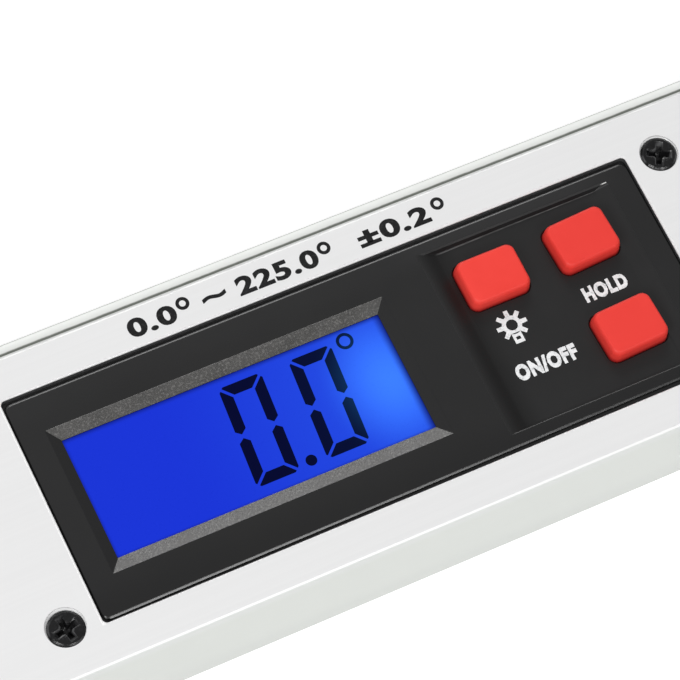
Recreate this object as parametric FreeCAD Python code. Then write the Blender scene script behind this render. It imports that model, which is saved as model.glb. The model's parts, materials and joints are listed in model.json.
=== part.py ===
import FreeCAD, Part
import math
import os

# Digital angle finder in millimetres: a hollow base arm with a display module, and a folding
# arm that closes into a channel along the base arm's top edge. It lies on its back, +Z out of
# the display face, +X from the pivot to the free ends, +Y from the base arm's measuring face to
# the folding arm. Every piece is drawn closed with the pivot axis at X = 0, Y = 0, and save()
# then moves it so that the origin is under the middle of the closed tool.

Vector = FreeCAD.Vector
ALONG_X = (1, 0, 0)
ALONG_Y = (0, 1, 0)
ALONG_Z = (0, 0, 1)

# ---- Driving dimensions ---------------------------------------------------------------------

# Arms
ARM_REACH = 400.0            # pivot axis to the free end of either arm
BODY_DEPTH = 21.6            # base arm from its back to its face
FRONT_WALL = 2.0
REAR_WALL = 2.0
BOTTOM_WALL = 2.5            # carries the base arm's measuring face
SHELF_WALL = 1.6             # floor of the channel, ceiling of the electronics box
ARM_PROUD = 2.76             # folding arm above the base arm's top edge when closed
BLADE_HEIGHT = 6.2           # folding arm's section along Y
BLADE_WALL = 1.2
BLADE_SIDE_GAP = 0.3         # folding arm to either wall of the channel
BLADE_BED_GAP = 0.2          # folding arm to the floor of the channel
EDGE_ROUND = 0.5             # long edges of both arms
CAP_PLATE = 3.0              # end cap outside its arm
CAP_PLUG = 10.0              # end cap inside its arm
PLUG_GAP = 0.05              # plugs and frames to the walls that hold them

# Pivot
AXLE_RADIUS = 6.0
AXLE_RUNNING_GAP = 0.05      # axle in the bushing and in the walls
AXLE_FLANGE = 1.2            # thickness of the collar that seats on the rear wall
AXLE_FLANGE_RADIUS = 9.0
AXLE_BACK_RECESS = 0.2       # axle's rear end below the back face
BUSHING_WALL = 1.95
WASHER = 0.75                # friction washers' thickness
WASHER_PLAY = 0.05           # friction washer to the knuckle
HUB_CLEARANCE = 1.4          # round knuckle to the end of the fork slot
SPIGOT_LENGTH = 34.0         # knuckle inside the folding arm
SPIGOT_GAP = 0.05
SHOULDER = 1.8               # knuckle's square shoulder beyond its round part
BOSS_RADIUS = 12.0           # knuckle's middle, inside the angle sensor
KNUCKLE_RIM = 3.0            # knuckle's wall outside the angle sensor
SENSOR_POCKET = 3.9
ROTOR = 1.2
STATOR = 2.0
SENSOR_SIDE_GAP = 0.6        # sensor rings to the walls of their pocket

# Lock knob on the threaded end of the axle
STUD_RADIUS = 3.0
STUD_LENGTH = 8.6
KNOB_RADIUS = 17.0
KNOB_HEIGHT = 12.0
KNOB_FLUTES = 12
FLUTE_RADIUS = 3.2
KNOB_ROUND = 1.2
KNOB_WASHER = 1.0
KNOB_WASHER_RADIUS = 12.0
KNOB_LIFT = 0.3              # knob above its washer
INSERT_WALL = 2.45           # threaded insert
INSERT_PLAY = 0.05
KNOB_CAP_RADIUS = 9.0
KNOB_CAP = 1.0

# Display module: window for the screen on the left, sunken pad with three buttons on the right
WINDOW_WIDTH = 53.5
WINDOW_HEIGHT = 23.3
WINDOW_LEFT_MARGIN = 4.2
WINDOW_TO_PAD = 8.7
PAD_RIGHT_MARGIN = 4.3
PAD_MARGIN = 2.85            # pad to the bezel's top and bottom edges
BEVEL_SIDE = 1.7             # sloping frame of the window, left and right
BEVEL_END = 2.0              # sloping frame of the window, above and below
BEVEL_DROP = 0.65
WINDOW_LIP = 0.25            # upright edge under the slope
SCREEN_MARGIN = 1.6          # screen behind the frame, all round
SCREEN = 2.2
BACKLIGHT = 3.1
PAD_DROP = 0.65
PAD_RAMP = 2.0
BUTTON_WIDTH = 9.7
BUTTON_HEIGHT = 7.6
BUTTON_GAP_X = 5.3
BUTTON_GAP_Y = 7.7
PAD_EDGE_LEFT = 2.45
PAD_EDGE_RIGHT = 3.15
PAD_EDGE_TOP = 3.3
PAD_EDGE_BOTTOM = 4.2
BUTTON_RISE = 2.35           # button above the floor of the pad
BUTTON_CORNER = 1.0
BUTTON_ROUND = 0.6
BUTTON_PLAY = 0.35           # button to its hole, wide enough for its small twist
BUTTON_LIP = 0.9             # flange that keeps the button in
BUTTON_LIP_THICKNESS = 0.8
BUTTON_TRAVEL = 0.8
BUTTON_REST_GAP = 0.05
LIGHT_TWIST = 0.0            # degrees that each loose button sits turned
HOLD_TWIST = 3.0
POWER_TWIST = 2.5
SWITCH_SIDE = 6.0
SWITCH_BODY = 2.0
SWITCH_PLUNGER_RADIUS = 1.75
BEZEL_RECESS = 0.5           # bezel's flat below the face
BEZEL_GAP = 0.2              # bezel to the edge of its cut-out
BEZEL_CORNER = 0.75
CUTOUT_ROUND = 0.34
BEZEL_PLATE = 1.2            # bezel under the floor of the pad
BEZEL_SKIRT = 1.2
BEZEL_TO_FLOOR = 3.49        # bezel to the inside of the bottom wall
BEZEL_TO_SHELF = 1.11        # bezel to the underside of the shelf
BOARD = 1.6
BOARD_GAP = 0.3
MODULE_BACK = 1.6
SCREW_OUTSET = 5.15          # face screws beyond the bezel's sides
SCREW_INSET = 1.62           # face screws inside its top and bottom edges
EAR_MARGIN = 4.35            # module beyond the face screws
MODULE_SETBACK = 25.5        # fork slot to the module
BULKHEAD = 4.0
BULKHEAD_WALL = 1.5
BULKHEAD_SETBACK = 0.5

# Screws
M3_RADIUS = 1.5
M3_HEAD_RADIUS = 2.75
M3_LENGTH = 8.0
M3_SINK_PLAY = 0.23          # countersink wider than the head
M3_HEAD_DROP = 0.2           # head below the surface
SMALL_SCREW_RADIUS = 1.0
SMALL_HEAD_RADIUS = 1.9
SMALL_SCREW_LENGTH = 5.0
HEAD_RIM = 0.2               # upright edge of a countersunk head
THREAD_PLAY = 0.02           # screw to its hole

# Ribbon from the angle sensor and leads from the battery
RIBBON_WIDTH = 8.0
RIBBON = 0.3
RIBBON_PLAY = 0.08
RIBBON_REACH = 10.0          # ribbon under the module
LEAD_RADIUS = 0.6
LEAD_PITCH = 4.0
WIRE_DROP = 2.0              # ribbon and leads behind the module's back

# Battery box: two AAA cells side by side
CELL_RADIUS = 5.25
CELL_LENGTH = 44.5
CELL_GAP = 0.5
NUB_RADIUS = 1.9
NUB_LENGTH = 1.0
SPRING_SPACE = 5.0
SPRING_RADIUS = 3.0
CONTACT = 0.5
BOX_WALL = 1.5
MODULE_TO_BATTERY = 6.0
DOOR_GAP = 0.2
DOOR_RECESS = 0.15           # door below the back face
DOOR_PIN_RADIUS = 0.5
DOOR_PIN_LENGTH = 1.2
DOOR_PIN_PLAY = 0.06
NOTCH_RADIUS = 6.0
NOTCH_DEPTH = 0.8

# Spirit vials
LEVEL_VIAL_LENGTH = 40.0
PLUMB_VIAL_LENGTH = 26.0
VIAL_RADIUS = 5.5
VIAL_WALL = 1.0
VIAL_SOCKET = 2.0            # tube held in each end of its frame
VIAL_FIT = 0.05
FRAME_WALL = 2.6
FRAME_RECESS = 0.3           # frame below the face and the back
FRAME_CORNER = 3.0
FRAME_BEVEL = 1.2
WINDOW_PLAY = 0.3            # frame's opening beside the tube
BUBBLE_RADIUS = 1.9
BUBBLE_LENGTH = 8.0

# ---- Derived places and sizes ---------------------------------------------------------------

# Display module, width and height
PAD_WIDTH = PAD_EDGE_LEFT + 2 * BUTTON_WIDTH + BUTTON_GAP_X + PAD_EDGE_RIGHT
PAD_HEIGHT = PAD_EDGE_TOP + 2 * BUTTON_HEIGHT + BUTTON_GAP_Y + PAD_EDGE_BOTTOM
BEZEL_WIDTH = WINDOW_LEFT_MARGIN + WINDOW_WIDTH + WINDOW_TO_PAD + PAD_WIDTH + PAD_RIGHT_MARGIN
BEZEL_HEIGHT = PAD_HEIGHT + 2 * PAD_MARGIN

# Heights along Y, with the pivot half-way between the two measuring faces
CHANNEL_DEPTH = BLADE_HEIGHT - ARM_PROUD + BLADE_BED_GAP
BOX_HEIGHT = BEZEL_TO_FLOOR + BEZEL_HEIGHT + BEZEL_TO_SHELF
FACE_HEIGHT = BOTTOM_WALL + BOX_HEIGHT + SHELF_WALL + CHANNEL_DEPTH
END_RADIUS = (FACE_HEIGHT + ARM_PROUD) / 2
BOTTOM_Y = -END_RADIUS
FACE_TOP_Y = END_RADIUS - ARM_PROUD
FLOOR_Y = BOTTOM_Y + BOTTOM_WALL
CEILING_Y = FLOOR_Y + BOX_HEIGHT
SHELF_TOP_Y = CEILING_Y + SHELF_WALL
CHANNEL_Y_SPAN = (SHELF_TOP_Y, FACE_TOP_Y + 1)
BOX_MIDDLE_Y = (FLOOR_Y + CEILING_Y) / 2
BLADE_INNER_Y = END_RADIUS - BLADE_HEIGHT
BLADE_MIDDLE_Y = END_RADIUS - BLADE_HEIGHT / 2
BEZEL_BOTTOM_Y = FLOOR_Y + BEZEL_TO_FLOOR
BEZEL_TOP_Y = BEZEL_BOTTOM_Y + BEZEL_HEIGHT

# Depths along Z
FACE_Z = BODY_DEPTH
INSIDE_FRONT_Z = FACE_Z - FRONT_WALL
INSIDE_Z_SPAN = (REAR_WALL, INSIDE_FRONT_Z)
BLADE_REAR_Z = REAR_WALL + BLADE_SIDE_GAP
BLADE_FRONT_Z = INSIDE_FRONT_Z - BLADE_SIDE_GAP
FLAT_Z = FACE_Z - BEZEL_RECESS
PAD_Z = FLAT_Z - PAD_DROP
UNDERSIDE_Z = PAD_Z - BEZEL_PLATE
SCREEN_FRONT_Z = FLAT_Z - BEVEL_DROP - WINDOW_LIP
SCREEN_REAR_Z = SCREEN_FRONT_Z - SCREEN
BOARD_FRONT_Z = SCREEN_REAR_Z - BACKLIGHT
BOARD_REAR_Z = BOARD_FRONT_Z - BOARD
MODULE_REAR_Z = BOARD_REAR_Z - MODULE_BACK
BUTTON_TOP_Z = PAD_Z + BUTTON_RISE
LIP_TOP_Z = UNDERSIDE_Z - BUTTON_REST_GAP
LIP_REAR_Z = LIP_TOP_Z - BUTTON_LIP_THICKNESS
PLUNGER_TOP_Z = LIP_REAR_Z - BUTTON_TRAVEL - BUTTON_REST_GAP
WIRE_Z = MODULE_REAR_Z - WIRE_DROP

# Places along X
FORK_END_X = END_RADIUS + HUB_CLEARANCE
MODULE_START_X = FORK_END_X + MODULE_SETBACK
EAR_LENGTH = SCREW_OUTSET + EAR_MARGIN
BEZEL_LEFT_X = MODULE_START_X + EAR_LENGTH
BEZEL_RIGHT_X = BEZEL_LEFT_X + BEZEL_WIDTH
MODULE_END_X = BEZEL_RIGHT_X + EAR_LENGTH
WINDOW_LEFT_X = BEZEL_LEFT_X + WINDOW_LEFT_MARGIN
WINDOW_RIGHT_X = WINDOW_LEFT_X + WINDOW_WIDTH
WINDOW_BOTTOM_Y = (BEZEL_BOTTOM_Y + BEZEL_TOP_Y - WINDOW_HEIGHT) / 2
WINDOW_TOP_Y = WINDOW_BOTTOM_Y + WINDOW_HEIGHT
PAD_LEFT_X = WINDOW_RIGHT_X + WINDOW_TO_PAD
PAD_RIGHT_X = PAD_LEFT_X + PAD_WIDTH
PAD_TOP_Y = BEZEL_TOP_Y - PAD_MARGIN
PAD_BOTTOM_Y = BEZEL_BOTTOM_Y + PAD_MARGIN
LEFT_BUTTON_X = PAD_LEFT_X + PAD_EDGE_LEFT + BUTTON_WIDTH / 2
RIGHT_BUTTON_X = PAD_RIGHT_X - PAD_EDGE_RIGHT - BUTTON_WIDTH / 2
UPPER_BUTTON_Y = PAD_TOP_Y - PAD_EDGE_TOP - BUTTON_HEIGHT / 2
LOWER_BUTTON_Y = PAD_BOTTOM_Y + PAD_EDGE_BOTTOM + BUTTON_HEIGHT / 2
BODY_END_X = ARM_REACH - CAP_PLATE
PLUG_START_X = BODY_END_X - CAP_PLUG
BLADE_START_X = math.sqrt(END_RADIUS ** 2 - BLADE_INNER_Y ** 2) + SHOULDER

# Battery box
CAVITY_LENGTH = CELL_LENGTH + SPRING_SPACE + 2 * CONTACT
CAVITY_WIDTH = 4 * CELL_RADIUS + 3 * CELL_GAP
BATTERY_START_X = MODULE_END_X + MODULE_TO_BATTERY
CAVITY_START_X = BATTERY_START_X + BOX_WALL
CAVITY_END_X = CAVITY_START_X + CAVITY_LENGTH
BATTERY_END_X = CAVITY_END_X + BOX_WALL
CAVITY_LOW_Y = BOX_MIDDLE_Y - CAVITY_WIDTH / 2
CAVITY_HIGH_Y = BOX_MIDDLE_Y + CAVITY_WIDTH / 2
CELL_Z = REAR_WALL + CELL_GAP + CELL_RADIUS
CELL_OFFSET_Y = CELL_RADIUS + CELL_GAP / 2
CAVITY_TOP_Z = CELL_Z + CELL_RADIUS + CELL_GAP
DOOR_HALF = (REAR_WALL - DOOR_RECESS) / 2
DOOR_AXIS_X = CAVITY_END_X - DOOR_GAP - DOOR_HALF
DOOR_AXIS_POINT = (DOOR_AXIS_X, BOX_MIDDLE_Y, DOOR_RECESS + DOOR_HALF)

# Vials share the free length between the battery box and the end cap evenly
FRAME_WIDTH = 2 * (VIAL_RADIUS + WINDOW_PLAY + FRAME_WALL)
LEVEL_FRAME_LENGTH = LEVEL_VIAL_LENGTH + 2 * FRAME_WALL
PLUMB_FRAME_LENGTH = PLUMB_VIAL_LENGTH + 2 * FRAME_WALL
FREE_LENGTH = PLUG_START_X - BATTERY_END_X - LEVEL_FRAME_LENGTH - FRAME_WIDTH
LEVEL_X = BATTERY_END_X + FREE_LENGTH / 3 + LEVEL_FRAME_LENGTH / 2
PLUMB_X = PLUG_START_X - FREE_LENGTH / 3 - FRAME_WIDTH / 2
VIAL_Z = BODY_DEPTH / 2

# Pivot stack
AXLE_HOLE_RADIUS = AXLE_RADIUS + AXLE_RUNNING_GAP
FLANGE_TOP_Z = REAR_WALL + AXLE_FLANGE
REAR_SEAT_Z = FLANGE_TOP_Z + WASHER + WASHER_PLAY
FRONT_SEAT_Z = INSIDE_FRONT_Z - WASHER - WASHER_PLAY
BUSHING_RADIUS = AXLE_HOLE_RADIUS + BUSHING_WALL
SENSOR_OUTER = END_RADIUS - KNUCKLE_RIM
SENSOR_FLOOR_Z = BLADE_FRONT_Z - SENSOR_POCKET
KNOB_Z = FACE_Z + KNOB_WASHER + KNOB_LIFT
KNOB_TOP_Z = KNOB_Z + KNOB_HEIGHT
STUD_TOP_Z = FACE_Z + KNOB_WASHER + STUD_LENGTH
INSERT_RADIUS = STUD_RADIUS + INSERT_PLAY + INSERT_WALL

# The closed tool reaches END_RADIUS behind the pivot and ARM_REACH in front of it
ORIGIN_SHIFT = (END_RADIUS - ARM_REACH) / 2


# ---- Shape helpers --------------------------------------------------------------------------

def block(x_span, y_span, z_span):
    """Box between the low and high value of each span."""
    low = Vector(x_span[0], y_span[0], z_span[0])
    sides = [span[1] - span[0] for span in (x_span, y_span, z_span)]
    return Part.makeBox(sides[0], sides[1], sides[2], low)


def disc(radius, z_span, x=0.0, y=0.0):
    """Upright cylinder."""
    return Part.makeCylinder(radius, z_span[1] - z_span[0], Vector(x, y, z_span[0]))


def ring(outer, inner, z_span, x=0.0, y=0.0):
    """Upright tube."""
    return disc(outer, z_span, x, y).cut(disc(inner, z_span, x, y))


def rod(radius, length, centre, axis):
    """Cylinder of the given length about its centre, along axis."""
    direction = Vector(axis)
    start = Vector(centre) - direction * (length / 2)
    return Part.makeCylinder(radius, length, start, direction)


def moved(shape, x, y, z):
    """Copy of the shape shifted by x, y, z."""
    copy = shape.copy()
    copy.translate(Vector(x, y, z))
    return copy


def turned(shape, x, y, degrees):
    """Copy of the shape turned about the upright line through x, y."""
    copy = shape.copy()
    copy.rotate(Vector(x, y, 0), Vector(0, 0, 1), degrees)
    return copy


def flipped(shape):
    """Copy of the shape turned over, so that what pointed down points up."""
    copy = shape.copy()
    copy.rotate(Vector(0, 0, 0), Vector(1, 0, 0), 180)
    return copy


def straight_edges(shape, axis):
    """Straight edges that run along axis."""
    direction = Vector(axis)
    found = []
    for edge in shape.Edges:
        if edge.Curve.TypeId == "Part::GeomLine":
            if abs(abs(edge.tangentAt(edge.FirstParameter).dot(direction)) - 1) < 1e-6:
                found.append(edge)
    return found


def level_edges(shape, z):
    """Edges that lie at height z all along."""
    return [e for e in shape.Edges if abs(e.BoundBox.ZMin - z) < 1e-4 and abs(e.BoundBox.ZMax - z) < 1e-4]


def rounded_block(x_span, y_span, z_span, radius):
    """Box with its four upright edges rounded."""
    shape = block(x_span, y_span, z_span)
    return shape.makeFillet(radius, straight_edges(shape, ALONG_Z))


def grown(span, amount):
    """Span made longer by amount at both ends."""
    return (span[0] - amount, span[1] + amount)


def rectangle(x_span, y_span, z):
    """Closed rectangular wire at height z."""
    (left, right), (low, high) = x_span, y_span
    points = [Vector(x, y, z) for x, y in ((left, low), (right, low), (right, high), (left, high))]
    return Part.makePolygon(points + points[:1])


def flare(low_spans, low_z, high_spans, high_z):
    """Solid that tapers from one rectangle up to another."""
    low = rectangle(low_spans[0], low_spans[1], low_z)
    high = rectangle(high_spans[0], high_spans[1], high_z)
    return Part.makeLoft([low, high], True, True)


def bent_strip(points, thickness, y_span):
    """Flat strip folded squarely along points given as X, Z."""
    half = thickness / 2
    pieces = []
    for (x0, z0), (x1, z1) in zip(points, points[1:]):
        x_run = grown((min(x0, x1), max(x0, x1)), half)
        z_run = grown((min(z0, z1), max(z0, z1)), half)
        pieces.append(block(x_run, y_span, z_run))
    return pieces[0].fuse(pieces[1:]).removeSplitter()


def bent_wire(points, radius, y):
    """Round wire with square bends along points given as X, Z."""
    pieces = []
    for (x0, z0), (x1, z1) in zip(points, points[1:]):
        run = Vector(x1 - x0, 0, z1 - z0)
        pieces.append(Part.makeCylinder(radius, run.Length, Vector(x0, y, z0), run))
    pieces += [Part.makeSphere(radius, Vector(x, y, z)) for x, z in points[1:-1]]
    return pieces[0].fuse(pieces[1:]).removeSplitter()


# ---- Screws ---------------------------------------------------------------------------------

def countersunk_screw(radius, head_radius, length):
    """Screw along -Z with the top of its head at Z = 0 and a cross recess."""
    cone = head_radius - radius
    head = Part.makeCone(radius, head_radius, cone, Vector(0, 0, -HEAD_RIM - cone))
    body = disc(head_radius, (-HEAD_RIM, 0)).fuse(head).fuse(disc(radius, (-length, -HEAD_RIM)))
    arm = head_radius * 0.55
    half = head_radius * 0.13
    depth = (-HEAD_RIM - cone * 0.7, 1)
    cross = block((-arm, arm), (-half, half), depth).fuse(block((-half, half), (-arm, arm), depth))
    return body.cut(cross).removeSplitter()


def screw_seat(radius, head_radius, play, drop, length):
    """Cutter for such a screw with its head drop below the surface at Z = 0."""
    mouth = head_radius + play
    cone = mouth - radius
    sink = Part.makeCone(radius, mouth, cone, Vector(0, 0, -drop - HEAD_RIM - cone))
    return disc(mouth, (-drop - HEAD_RIM, 1)).fuse(sink).fuse(disc(radius, (-drop - length, 0)))


def m3_screw():
    """M3 countersunk screw with its head just under Z = 0."""
    return moved(countersunk_screw(M3_RADIUS, M3_HEAD_RADIUS, M3_LENGTH), 0, 0, -M3_HEAD_DROP)


def m3_seat(length):
    """Countersink and hole for an M3 screw."""
    return screw_seat(M3_RADIUS + THREAD_PLAY, M3_HEAD_RADIUS, M3_SINK_PLAY, M3_HEAD_DROP, length)


def small_screw():
    """M2 countersunk screw with its head flush with Z = 0."""
    return countersunk_screw(SMALL_SCREW_RADIUS, SMALL_HEAD_RADIUS, SMALL_SCREW_LENGTH)


def small_seat():
    """Countersink and hole for an M2 screw."""
    hole = SMALL_SCREW_LENGTH + THREAD_PLAY
    return screw_seat(SMALL_SCREW_RADIUS + THREAD_PLAY, SMALL_HEAD_RADIUS, THREAD_PLAY, 0, hole)


def face_screw_places():
    """X and Y of the four screws that hold the module to the face."""
    columns = (BEZEL_LEFT_X - SCREW_OUTSET, BEZEL_RIGHT_X + SCREW_OUTSET)
    rows = (BEZEL_BOTTOM_Y + SCREW_INSET, BEZEL_TOP_Y - SCREW_INSET)
    return [(x, y) for x in columns for y in rows]


def cap_screw_places():
    """X and Y of the two screws that hold the base arm's end cap, from the back."""
    x = (PLUG_START_X + BODY_END_X) / 2
    return [(x, BOX_MIDDLE_Y - BOX_HEIGHT / 4), (x, BOX_MIDDLE_Y + BOX_HEIGHT / 4)]


def module_screw_places():
    """X and Y of the two screws that close the module's back."""
    y = (BEZEL_BOTTOM_Y + BEZEL_TOP_Y) / 2
    return [(BEZEL_LEFT_X - SCREW_OUTSET, y), (BEZEL_RIGHT_X + SCREW_OUTSET, y)]


def knuckle_screw_places():
    """X and Y of the two screws that hold the folding arm on the knuckle's spigot."""
    return [(BLADE_START_X + SPIGOT_LENGTH * share, BLADE_MIDDLE_Y) for share in (1 / 3, 2 / 3)]


# ---- Base arm -------------------------------------------------------------------------------

def base_outline():
    """Face of the arm's side view: straight edges and a round end about the pivot."""
    corner_x = -math.sqrt(END_RADIUS ** 2 - FACE_TOP_Y ** 2)
    below = Vector(0, BOTTOM_Y, 0)
    corner = Vector(corner_x, FACE_TOP_Y, 0)
    round_end = Part.Arc(below, Vector(-END_RADIUS, 0, 0), corner).toShape()
    corners = [corner, Vector(BODY_END_X, FACE_TOP_Y, 0), Vector(BODY_END_X, BOTTOM_Y, 0), below]
    sides = [Part.makeLine(start, end) for start, end in zip(corners, corners[1:])]
    return Part.Face(Part.Wire([round_end] + sides))


def vial_windows(play):
    """Solids that fill the two through windows, smaller by play all round."""
    through = (-1, BODY_DEPTH + 1)
    half_level = LEVEL_FRAME_LENGTH / 2 - play
    half_plumb = PLUMB_FRAME_LENGTH / 2 - play
    half_width = FRAME_WIDTH / 2 - play
    level = rounded_block((LEVEL_X - half_level, LEVEL_X + half_level),
                          (BOX_MIDDLE_Y - half_width, BOX_MIDDLE_Y + half_width), through, FRAME_CORNER)
    plumb = rounded_block((PLUMB_X - half_width, PLUMB_X + half_width),
                          (BOX_MIDDLE_Y - half_plumb, BOX_MIDDLE_Y + half_plumb), through, FRAME_CORNER)
    return level, plumb


def base_arm():
    """Extruded base arm with its fork, cut-outs and screw holes."""
    past_end = BODY_END_X + 1
    before_end = -END_RADIUS - 1
    arm = base_outline().extrude(Vector(0, 0, BODY_DEPTH))
    arm = arm.makeFillet(EDGE_ROUND, level_edges(arm, 0) + level_edges(arm, BODY_DEPTH))
    box = block((before_end, past_end), (FLOOR_Y, CEILING_Y), INSIDE_Z_SPAN)
    channel = block((before_end, past_end), CHANNEL_Y_SPAN, INSIDE_Z_SPAN)
    fork = block((before_end, FORK_END_X), (BOTTOM_Y - 1, FACE_TOP_Y + 1), INSIDE_Z_SPAN)
    arm = arm.cut([box, channel, fork])
    cutout = rounded_block((BEZEL_LEFT_X, BEZEL_RIGHT_X), (BEZEL_BOTTOM_Y, BEZEL_TOP_Y),
                           (INSIDE_FRONT_Z - 1, FACE_Z + 1), BEZEL_CORNER)
    arm = arm.cut(cutout)
    rim = [e for e in level_edges(arm, FACE_Z) if inside_cutout(e)]
    arm = arm.makeFillet(CUTOUT_ROUND, rim)
    cutters = [moved(m3_seat(FRONT_WALL), x, y, FACE_Z) for x, y in face_screw_places()]
    cutters += [moved(flipped(m3_seat(REAR_WALL)), x, y, 0) for x, y in cap_screw_places()]
    cutters.append(disc(AXLE_HOLE_RADIUS, (-1, FACE_Z + 1)))
    cutters.append(cell_cavity((-1, REAR_WALL + 1)))
    pin_reach = CAVITY_WIDTH + 2 * (DOOR_PIN_LENGTH + DOOR_PIN_PLAY)
    cutters.append(rod(DOOR_PIN_RADIUS + DOOR_PIN_PLAY, pin_reach, DOOR_AXIS_POINT, ALONG_Y))
    cutters += vial_windows(0)
    cutters.append(ribbon_groove())
    return arm.cut(cutters).removeSplitter()


def inside_cutout(edge):
    """True for an edge of the display's cut-out."""
    box = edge.BoundBox
    margin = CUTOUT_ROUND
    wide = box.XMin > BEZEL_LEFT_X - margin and box.XMax < BEZEL_RIGHT_X + margin
    return wide and box.YMin > BEZEL_BOTTOM_Y - margin and box.YMax < BEZEL_TOP_Y + margin


def base_end_cap():
    """Plug and plate at the base arm's free end, open where the channel is."""
    plate = block((BODY_END_X, ARM_REACH), (BOTTOM_Y, FACE_TOP_Y), (0, BODY_DEPTH))
    plate = plate.makeFillet(EDGE_ROUND, straight_edges(plate, ALONG_X))
    channel = block((BODY_END_X - 1, ARM_REACH + 1), CHANNEL_Y_SPAN, INSIDE_Z_SPAN)
    plug = block((PLUG_START_X, BODY_END_X), (FLOOR_Y + PLUG_GAP, CEILING_Y - PLUG_GAP),
                 (REAR_WALL + PLUG_GAP, INSIDE_FRONT_Z - PLUG_GAP))
    seats = [moved(flipped(m3_seat(M3_LENGTH)), x, y, 0) for x, y in cap_screw_places()]
    return plate.cut(channel).fuse(plug).cut(seats).removeSplitter()


def hub_bulkhead():
    """Cup that closes the electronics box behind the fork."""
    start = FORK_END_X + BULKHEAD_SETBACK
    y_span = (FLOOR_Y + PLUG_GAP, CEILING_Y - PLUG_GAP)
    z_span = (REAR_WALL + PLUG_GAP, INSIDE_FRONT_Z - PLUG_GAP)
    cup = block((start, start + BULKHEAD), y_span, z_span)
    hollow = block((start + BULKHEAD_WALL, start + BULKHEAD + 1), grown(y_span, -BULKHEAD_WALL),
                   grown(z_span, -BULKHEAD_WALL))
    return cup.cut(hollow)


# ---- Folding arm ----------------------------------------------------------------------------

def blade_section(x_span, inset):
    """Folding arm's section, inset all round, between two places along X."""
    y_span = (BLADE_INNER_Y + inset, END_RADIUS - inset)
    return block(x_span, y_span, (BLADE_REAR_Z + inset, BLADE_FRONT_Z - inset))


def folding_arm():
    """Hollow bar with its measuring face at the top when closed."""
    bar = blade_section((BLADE_START_X, BODY_END_X), 0)
    bar = bar.makeFillet(EDGE_ROUND, straight_edges(bar, ALONG_X))
    bar = bar.cut(blade_section((BLADE_START_X - 1, BODY_END_X + 1), BLADE_WALL))
    seats = [moved(small_seat(), x, y, BLADE_FRONT_Z) for x, y in knuckle_screw_places()]
    return bar.cut(seats).removeSplitter()


def folding_arm_end_cap():
    """Plug and plate at the folding arm's free end."""
    plate = blade_section((BODY_END_X, ARM_REACH), 0)
    plate = plate.makeFillet(EDGE_ROUND, straight_edges(plate, ALONG_X))
    plug = blade_section((PLUG_START_X, BODY_END_X), BLADE_WALL + PLUG_GAP)
    return plate.fuse(plug).removeSplitter()


def arm_knuckle():
    """Round hub between the fork's walls, with a spigot that carries the folding arm."""
    hub = disc(END_RADIUS, (BLADE_REAR_Z, BLADE_FRONT_Z))
    shoulder = blade_section((0, BLADE_START_X), 0)
    spigot = blade_section((BLADE_START_X, BLADE_START_X + SPIGOT_LENGTH), BLADE_WALL + SPIGOT_GAP)
    knuckle = hub.fuse([shoulder, spigot])
    bore = disc(BUSHING_RADIUS, (0, FACE_Z))
    rear_pocket = disc(AXLE_FLANGE_RADIUS + SENSOR_SIDE_GAP, (0, REAR_SEAT_Z))
    front_pocket = disc(BOSS_RADIUS + 1, (FRONT_SEAT_Z, FACE_Z))
    sensor = ring(SENSOR_OUTER, BOSS_RADIUS, (SENSOR_FLOOR_Z, FACE_Z))
    seats = [moved(small_seat(), x, y, BLADE_FRONT_Z) for x, y in knuckle_screw_places()]
    return knuckle.cut([bore, rear_pocket, front_pocket, sensor] + seats).removeSplitter()


def knuckle_bushing():
    """Bronze bushing that runs on the axle."""
    z_span = (REAR_SEAT_Z + WASHER_PLAY, FRONT_SEAT_Z - WASHER_PLAY)
    return ring(BUSHING_RADIUS - THREAD_PLAY, AXLE_HOLE_RADIUS, z_span)


def sensor_rotor():
    """Turning disc of the angle sensor, on the floor of its pocket."""
    outer = SENSOR_OUTER - SENSOR_SIDE_GAP
    return ring(outer, BOSS_RADIUS + SENSOR_SIDE_GAP, (SENSOR_FLOOR_Z, SENSOR_FLOOR_Z + ROTOR))


def knuckle_screws():
    """Two screws through the folding arm into the spigot."""
    return Part.makeCompound([moved(small_screw(), x, y, BLADE_FRONT_Z) for x, y in knuckle_screw_places()])


# ---- Pivot ----------------------------------------------------------------------------------

def pivot_axle():
    """Axle riveted in the rear wall, with a collar inside and a threaded stud in front."""
    shaft = disc(AXLE_RADIUS, (AXLE_BACK_RECESS, FACE_Z + KNOB_WASHER - WASHER_PLAY))
    collar = disc(AXLE_FLANGE_RADIUS, (REAR_WALL, FLANGE_TOP_Z))
    stud = disc(STUD_RADIUS, (FACE_Z, STUD_TOP_Z))
    return shaft.fuse([collar, stud]).removeSplitter()


def rear_friction_washer():
    """Nylon washer on the axle's collar."""
    return ring(AXLE_FLANGE_RADIUS, AXLE_HOLE_RADIUS, (FLANGE_TOP_Z, FLANGE_TOP_Z + WASHER))


def front_friction_washer():
    """Nylon washer between the knuckle's boss and the front wall."""
    z_span = (INSIDE_FRONT_Z - WASHER, INSIDE_FRONT_Z)
    return ring(BOSS_RADIUS - SENSOR_SIDE_GAP, AXLE_HOLE_RADIUS, z_span)


def sensor_stator():
    """Fixed ring of the angle sensor, bonded to the front wall."""
    outer = SENSOR_OUTER - SENSOR_SIDE_GAP
    return ring(outer, BOSS_RADIUS + SENSOR_SIDE_GAP, (INSIDE_FRONT_Z - STATOR, INSIDE_FRONT_Z))


def knob_washer():
    """Steel washer between the face and the knob."""
    return ring(KNOB_WASHER_RADIUS, AXLE_HOLE_RADIUS, (FACE_Z, FACE_Z + KNOB_WASHER))


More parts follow.
